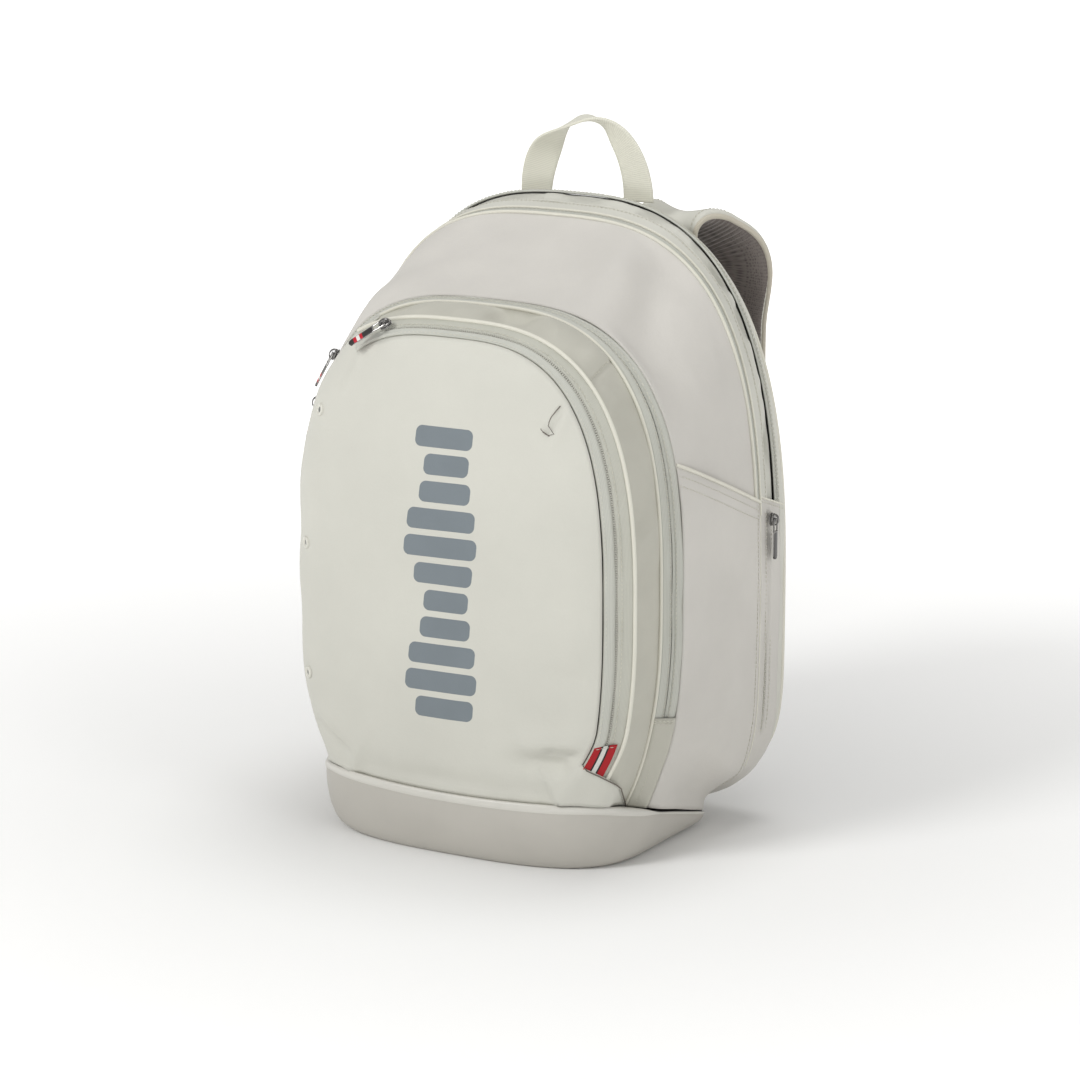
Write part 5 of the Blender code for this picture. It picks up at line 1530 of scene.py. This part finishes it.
def polished(node, name, material, width=0.0006, segments=2):
    """A CAD part's own shape with its edges rounded."""
    source = frame["nodes"][node]
    obj = bpy.data.objects.new(name, source.data.copy())
    bpy.context.scene.collection.objects.link(obj)
    obj.data.materials.clear()
    obj.data.materials.append(material)
    bm = bmesh.new()
    bm.from_mesh(obj.data)
    bmesh.ops.remove_doubles(bm, verts=bm.verts, dist=1e-5)
    bmesh.ops.dissolve_limit(bm, angle_limit=math.radians(2), verts=bm.verts, edges=bm.edges)
    bm.to_mesh(obj.data)
    bm.free()
    box_uvs(obj)
    bevel = obj.modifiers.new("edges", "BEVEL")
    bevel.width = width
    bevel.segments = segments
    bevel.limit_method = "ANGLE"
    bevel.angle_limit = math.radians(35)
    obj.data.shade_smooth()
    obj.data.set_sharp_from_angle(angle=math.radians(40))
    finish_piece(obj, source["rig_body"], [node])


def box_uvs(obj):
    """UVs in metres from whichever plane each face lies nearest."""
    mesh = obj.data
    layer = mesh.uv_layers.active or mesh.uv_layers.new(name="metres")
    for face in mesh.polygons:
        axis = max(range(3), key=lambda k: abs(face.normal[k]))
        first, second = [k for k in range(3) if k != axis]
        for loop in face.loop_indices:
            co = mesh.vertices[mesh.loops[loop].vertex_index].co
            layer.data[loop].uv = (co[first], co[second])


def lower_webbing():
    for word in ("right", "left"):
        polished("ladder_lock_" + word, "ladder_lock_body_" + word, PLASTIC, 0.0008, 3)
        polished("strap_webbing_" + word, "lower_webbing_" + word, WEBBING, 0.0004, 2)
        polished("strap_anchor_" + word, "anchor_tab_" + word, SHELL_CLOTH, 0.0006, 2)


# --- sliders and pullers ---------------------------------------------------------------------------
SLIDER_LENGTH, SLIDER_WIDTH, SLIDER_BODY = 0.0100, 0.0070, 0.0024
PIVOT_HEIGHT = SLIDER_BODY + 0.00115
FRONT_SLIDER_TURN = math.radians(28)
SECOND_ZIP_DEPTH, MAIN_ZIP_DEPTH = -0.0452, 0.0580
# Name, depth, share of the outline and height over the cloth; then name, side, depth, height, height over.
SLIDER_PLACES = (("front", (FRONT_EDGE + POCKET_FRONT) / 2, 0.5635, 0.0045),
                 ("second_upper", SECOND_ZIP_DEPTH, 0.656, 0.0030),
                 ("second_lower", SECOND_ZIP_DEPTH, 0.699, 0.0030),
                 ("main_upper", MAIN_ZIP_DEPTH, 0.705, 0.0022), ("main_lower", MAIN_ZIP_DEPTH, 0.750, 0.0022))
SIDE_SLIDERS = (("rear", -1, REAR_ZIP_DEPTH, 0.300, 0.0030), ("side_right", 1, SIDE_ZIP_DEPTH, 0.238, 0.0030),
                ("side_left", -1, SIDE_ZIP_DEPTH, 0.238, 0.0030))


def surface_frame(y, share):
    before, point, after = (Vector(on_outline(y, np.array([share + step]))[0]) for step in (-0.01, 0.0, 0.01))
    ahead = Vector(on_outline(y - 0.003, np.array([share]))[0])
    along = (after - before).normalized()
    normal = along.cross(ahead - point).normalized()
    if normal.dot(point - Vector(BODY_CENTRE)) < 0:
        normal = -normal
    return point, along, normal


def zip_frame(point, along, normal, lift):
    across = normal.cross(along).normalized()
    turn = Matrix((along, across, normal)).transposed().to_4x4()
    return Matrix.Translation(point + normal * lift) @ turn


def slider_poses():
    poses = {}
    for name, depth, share, lift in SLIDER_PLACES:
        point, along, normal = surface_frame(depth, share)
        if name == "front":
            along = Matrix.Rotation(FRONT_SLIDER_TURN, 3, normal) @ along
        poses[name] = zip_frame(point, along, normal, lift)
    for name, side, depth, height, lift in SIDE_SLIDERS:
        point = Vector(side_point(depth, height, side))
        poses[name] = zip_frame(point, Vector((0, 0, -1)), Vector((side, 0, 0)), lift)
    return poses


def slider_body():
    """A cast slider: a waisted lower plate, a domed upper plate and an arched bridge."""
    made = Builder()
    around = 40
    for base, top, grow in ((-0.0004, 0.0007, 1.0), (0.0012, 0.0026, 0.94)):
        rows = []
        for level, scale in ((base, 0.90), (base + 0.0002, 0.985), (top - 0.0003, 1.0), (top, 0.93),
                             (top + 0.0001, 0.6), (top + 0.00015, 0.05)):
            row = []
            for k in range(around):
                a = 2 * math.pi * k / around
                c, s = math.cos(a), math.sin(a)
                norm = (abs(c) ** 2.6 + abs(s) ** 2.6) ** (1 / 2.6)
                waist = 1 - 0.20 * smoothstep(c * 1.2)
                row.append((SLIDER_LENGTH / 2 * c / norm * scale * grow,
                            SLIDER_WIDTH / 2 * s / norm * scale * grow * waist, level))
            rows.append(row)
        made.ring_faces(np.array(rows), 0, np.zeros((len(rows), around, 2)))
    line = np.array([(0.0040 * math.cos(a), 0.0, 0.0022 + 0.0036 * math.sin(a) ** 0.8)
                     for a in np.linspace(0.02, math.pi - 0.02, 18)])
    rings = []
    ahead = unit_rows(np.gradient(line, axis=0))
    for centre, forward in zip(line, ahead):
        side = np.array((0.0, 1.0, 0.0))
        up = np.cross(forward, side)
        rings.append([centre + side * 0.0012 * math.copysign(abs(math.cos(a)) ** 0.6, math.cos(a))
                      + up * 0.00045 * math.copysign(abs(math.sin(a)) ** 0.6, math.sin(a))
                      for a in np.linspace(0, 2 * math.pi, 12, endpoint=False)])
    made.ring_faces(np.array(rings), 0, np.zeros((len(rings), 12, 2)))
    made.block((0.0, 0.0, 0.0009), (np.array((1.0, 0, 0)), np.array((0, 1.0, 0)), np.array((0, 0, 1.0))),
               (0.004, 0.0012, 0.0012), 0)
    return made


def puller_tab(striped):
    """A wire loop on the slider's bridge that holds a moulded tab with striped bands."""
    made = Builder()
    loop = []
    half, start, end = 0.0028, 0.0, 0.0098
    for a in np.linspace(math.pi / 2, 3 * math.pi / 2, 13):
        loop.append((start + 0.0012 * math.cos(a) + 0.0006, half * math.sin(a), 0))
    for a in np.linspace(-math.pi / 2, math.pi / 2, 13):
        loop.append((end + 0.0009 * math.cos(a), half * 0.86 * math.sin(a), 0))
    made.tube(np.array(loop), 0.00062, 0, 9, closed=True)
    cuts = [0.0086, 0.0094, 0.0182, 0.0206, 0.0232, 0.0258, 0.0292, 0.0300]
    kinds = [0, 1, 2, 3, 2, 1, 1] if striped else [0, 1, 1, 1, 1, 1, 1]
    around = 20
    for low, high, kind in zip(cuts, cuts[1:], kinds):
        rows = []
        for x in np.linspace(low, high, 5):
            wide = 0.0027 if kind else 0.0030
            tip = math.sqrt(max(1 - max((x - 0.0280) / 0.0021, 0.0) ** 2, 0.02))
            row = []
            for k in range(around):
                a = 2 * math.pi * k / around
                c, s = math.cos(a), math.sin(a)
                norm = (abs(c) ** 5 + abs(s) ** 5) ** 0.2
                row.append((x, wide * c / norm * tip, (0.00078 if kind else 0.00095) * s / norm))
            rows.append(row)
        made.ring_faces(np.array(rows), kind, np.zeros((len(rows), around, 2)))
    for end in (-1, 1):
        made.tube(np.array([(x, end * 0.0028, 0) for x in np.linspace(0.0090, 0.0275, 12)]), 0.00042, 0, 7)
    return made


def sliders():
    for name, pose in slider_poses().items():
        body = slider_body().make("zip_slider_" + name, [GUNMETAL], recalc=True)
        body.data.set_sharp_from_angle(angle=math.radians(50))
        body.matrix_world = pose
        finish_piece(body, "slider_" + name, ["slider_" + name])
        striped = not name.startswith("side")
        metal_part = BRIGHT if striped else GUNMETAL
        tab = puller_tab(striped).make("zip_puller_" + name, [metal_part, TAB_BLACK, TAB_RED, TAB_WHITE],
                                       recalc=True)
        tab.data.set_sharp_from_angle(angle=math.radians(50))
        tab.matrix_world = pose @ Matrix.Translation((0, 0, PIVOT_HEIGHT))
        finish_piece(tab, "puller_" + name, ["puller_" + name])


# --- inner panels ----------------------------------------------------------------------------------
def inner_panels():
    for node, material in (("racket_divider", AIR_MESH), ("front_divider", LINING), ("inner_sleeve", LINING),
                           ("frame_sheet", FOAM_BOARD)):
        panel = frame["nodes"][node].data.materials
        panel.clear()
        panel.append(material)
    source = frame["nodes"]["front_pocket_back"]
    wall = bpy.data.objects.new("pocket_back_wall", source.data.copy())
    bpy.context.scene.collection.objects.link(wall)
    wall.data.materials.clear()
    wall.data.materials.append(LINING)
    for vert in wall.data.vertices:
        half = fabric_half(vert.co.y)
        reach = float(np.interp(vert.co.z, half[:, 1], half[:, 0])) - 0.003
        if vert.co.z < 0.12 and abs(vert.co.x) > reach:
            vert.co.x = math.copysign(reach, vert.co.x)
    finish_piece(wall, source["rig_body"], ["front_pocket_back"])


# --- studio ------------------------------------------------------------------------------------------
def studio():
    scene = bpy.context.scene
    scene.view_settings.view_transform = "Standard"
    world = bpy.data.worlds.new("studio")
    scene.world = world
    world.use_nodes = True
    world.node_tree.nodes["Background"].inputs["Color"].default_value = (1.0, 0.995, 0.985, 1.0)
    world.node_tree.nodes["Background"].inputs["Strength"].default_value = 0.40
    bpy.ops.mesh.primitive_plane_add(size=30.0)
    floor = bpy.context.object
    floor.name = "studio_floor"
    n = Nodes("floor", 0.9)
    split = n.node("ShaderNodeSeparateXYZ")
    n.link(n.coords(), split.inputs[0])
    away = n.maths("SQRT", n.maths("ADD", n.maths("MULTIPLY", split.outputs[0], split.outputs[0]),
                                   n.maths("MULTIPLY", split.outputs[1], split.outputs[1])))
    n.colour(n.mix(n.noise(3.0), (0.90, 0.90, 0.89), (0.92, 0.92, 0.91)))
    n.shader.inputs["Emission Color"].default_value = (1.0, 1.0, 1.0, 1.0)
    n.link(n.maths("MULTIPLY", n.ramp(away, 0.18, 2.2), 0.90), n.shader.inputs["Emission Strength"])
    floor.data.materials.append(n.mat)
    lights = (("key", (-1.35, -2.9, 2.5), 1.2, 60.0), ("fill", (2.8, -1.0, 1.5), 1.6, 16.0),
              ("top", (0.2, 0.5, 3.2), 1.6, 27.0))
    for name, place, size, power in lights:
        data = bpy.data.lights.new(name, "AREA")
        data.shape = "DISK"
        data.size = size
        data.energy = power
        light = bpy.data.objects.new(name, data)
        light.location = place
        light.rotation_mode = "QUATERNION"
        light.rotation_quaternion = (Vector((0, 0, 0.22)) - Vector(place)).to_track_quat("-Z", "Y")
        scene.collection.objects.link(light)


CAMERA_AZIMUTH, CAMERA_ELEVATION, CAMERA_DISTANCE = math.radians(29), math.radians(13.5), 3.0
CAMERA_TARGET = Vector((0, 0, 0.25))
CAMERA_LENS, CAMERA_SHIFT = 134.4, (0.0204, -0.0398)


def camera():
    a, e = CAMERA_AZIMUTH, CAMERA_ELEVATION
    back = Vector((math.sin(a) * math.cos(e), -math.cos(a) * math.cos(e), math.sin(e)))
    data = bpy.data.cameras.new("camera")
    data.lens = CAMERA_LENS
    data.sensor_width = 36.0
    data.shift_x, data.shift_y = CAMERA_SHIFT
    obj = bpy.data.objects.new("camera", data)
    obj.location = CAMERA_TARGET + back * CAMERA_DISTANCE
    obj.rotation_mode = "QUATERNION"
    obj.rotation_quaternion = (-back).to_track_quat("-Z", "Y")
    bpy.context.scene.collection.objects.link(obj)
    bpy.context.scene.camera = obj


# --- build -------------------------------------------------------------------------------------------
camera()
studio()
base_boot()
shell = front_shell()
eyelets(shell)
fold_blend(shell)
front_zip()
front_gusset()
second_zip()
lower_bands()
ribbon()
main_panel()
main_zip()
side_pockets()
rear_gusset()
rear_zip()
side_lower_panel()
back_border()
back_panel()
back_pads()
haul_handle()
shoulder_straps()
sliders()
inner_panels()
for body_name, made in details.items():
    piece = made.make("stitches_" + body_name, [THREAD, COIL], recalc=True)
    finish_piece(piece, body_name, ())
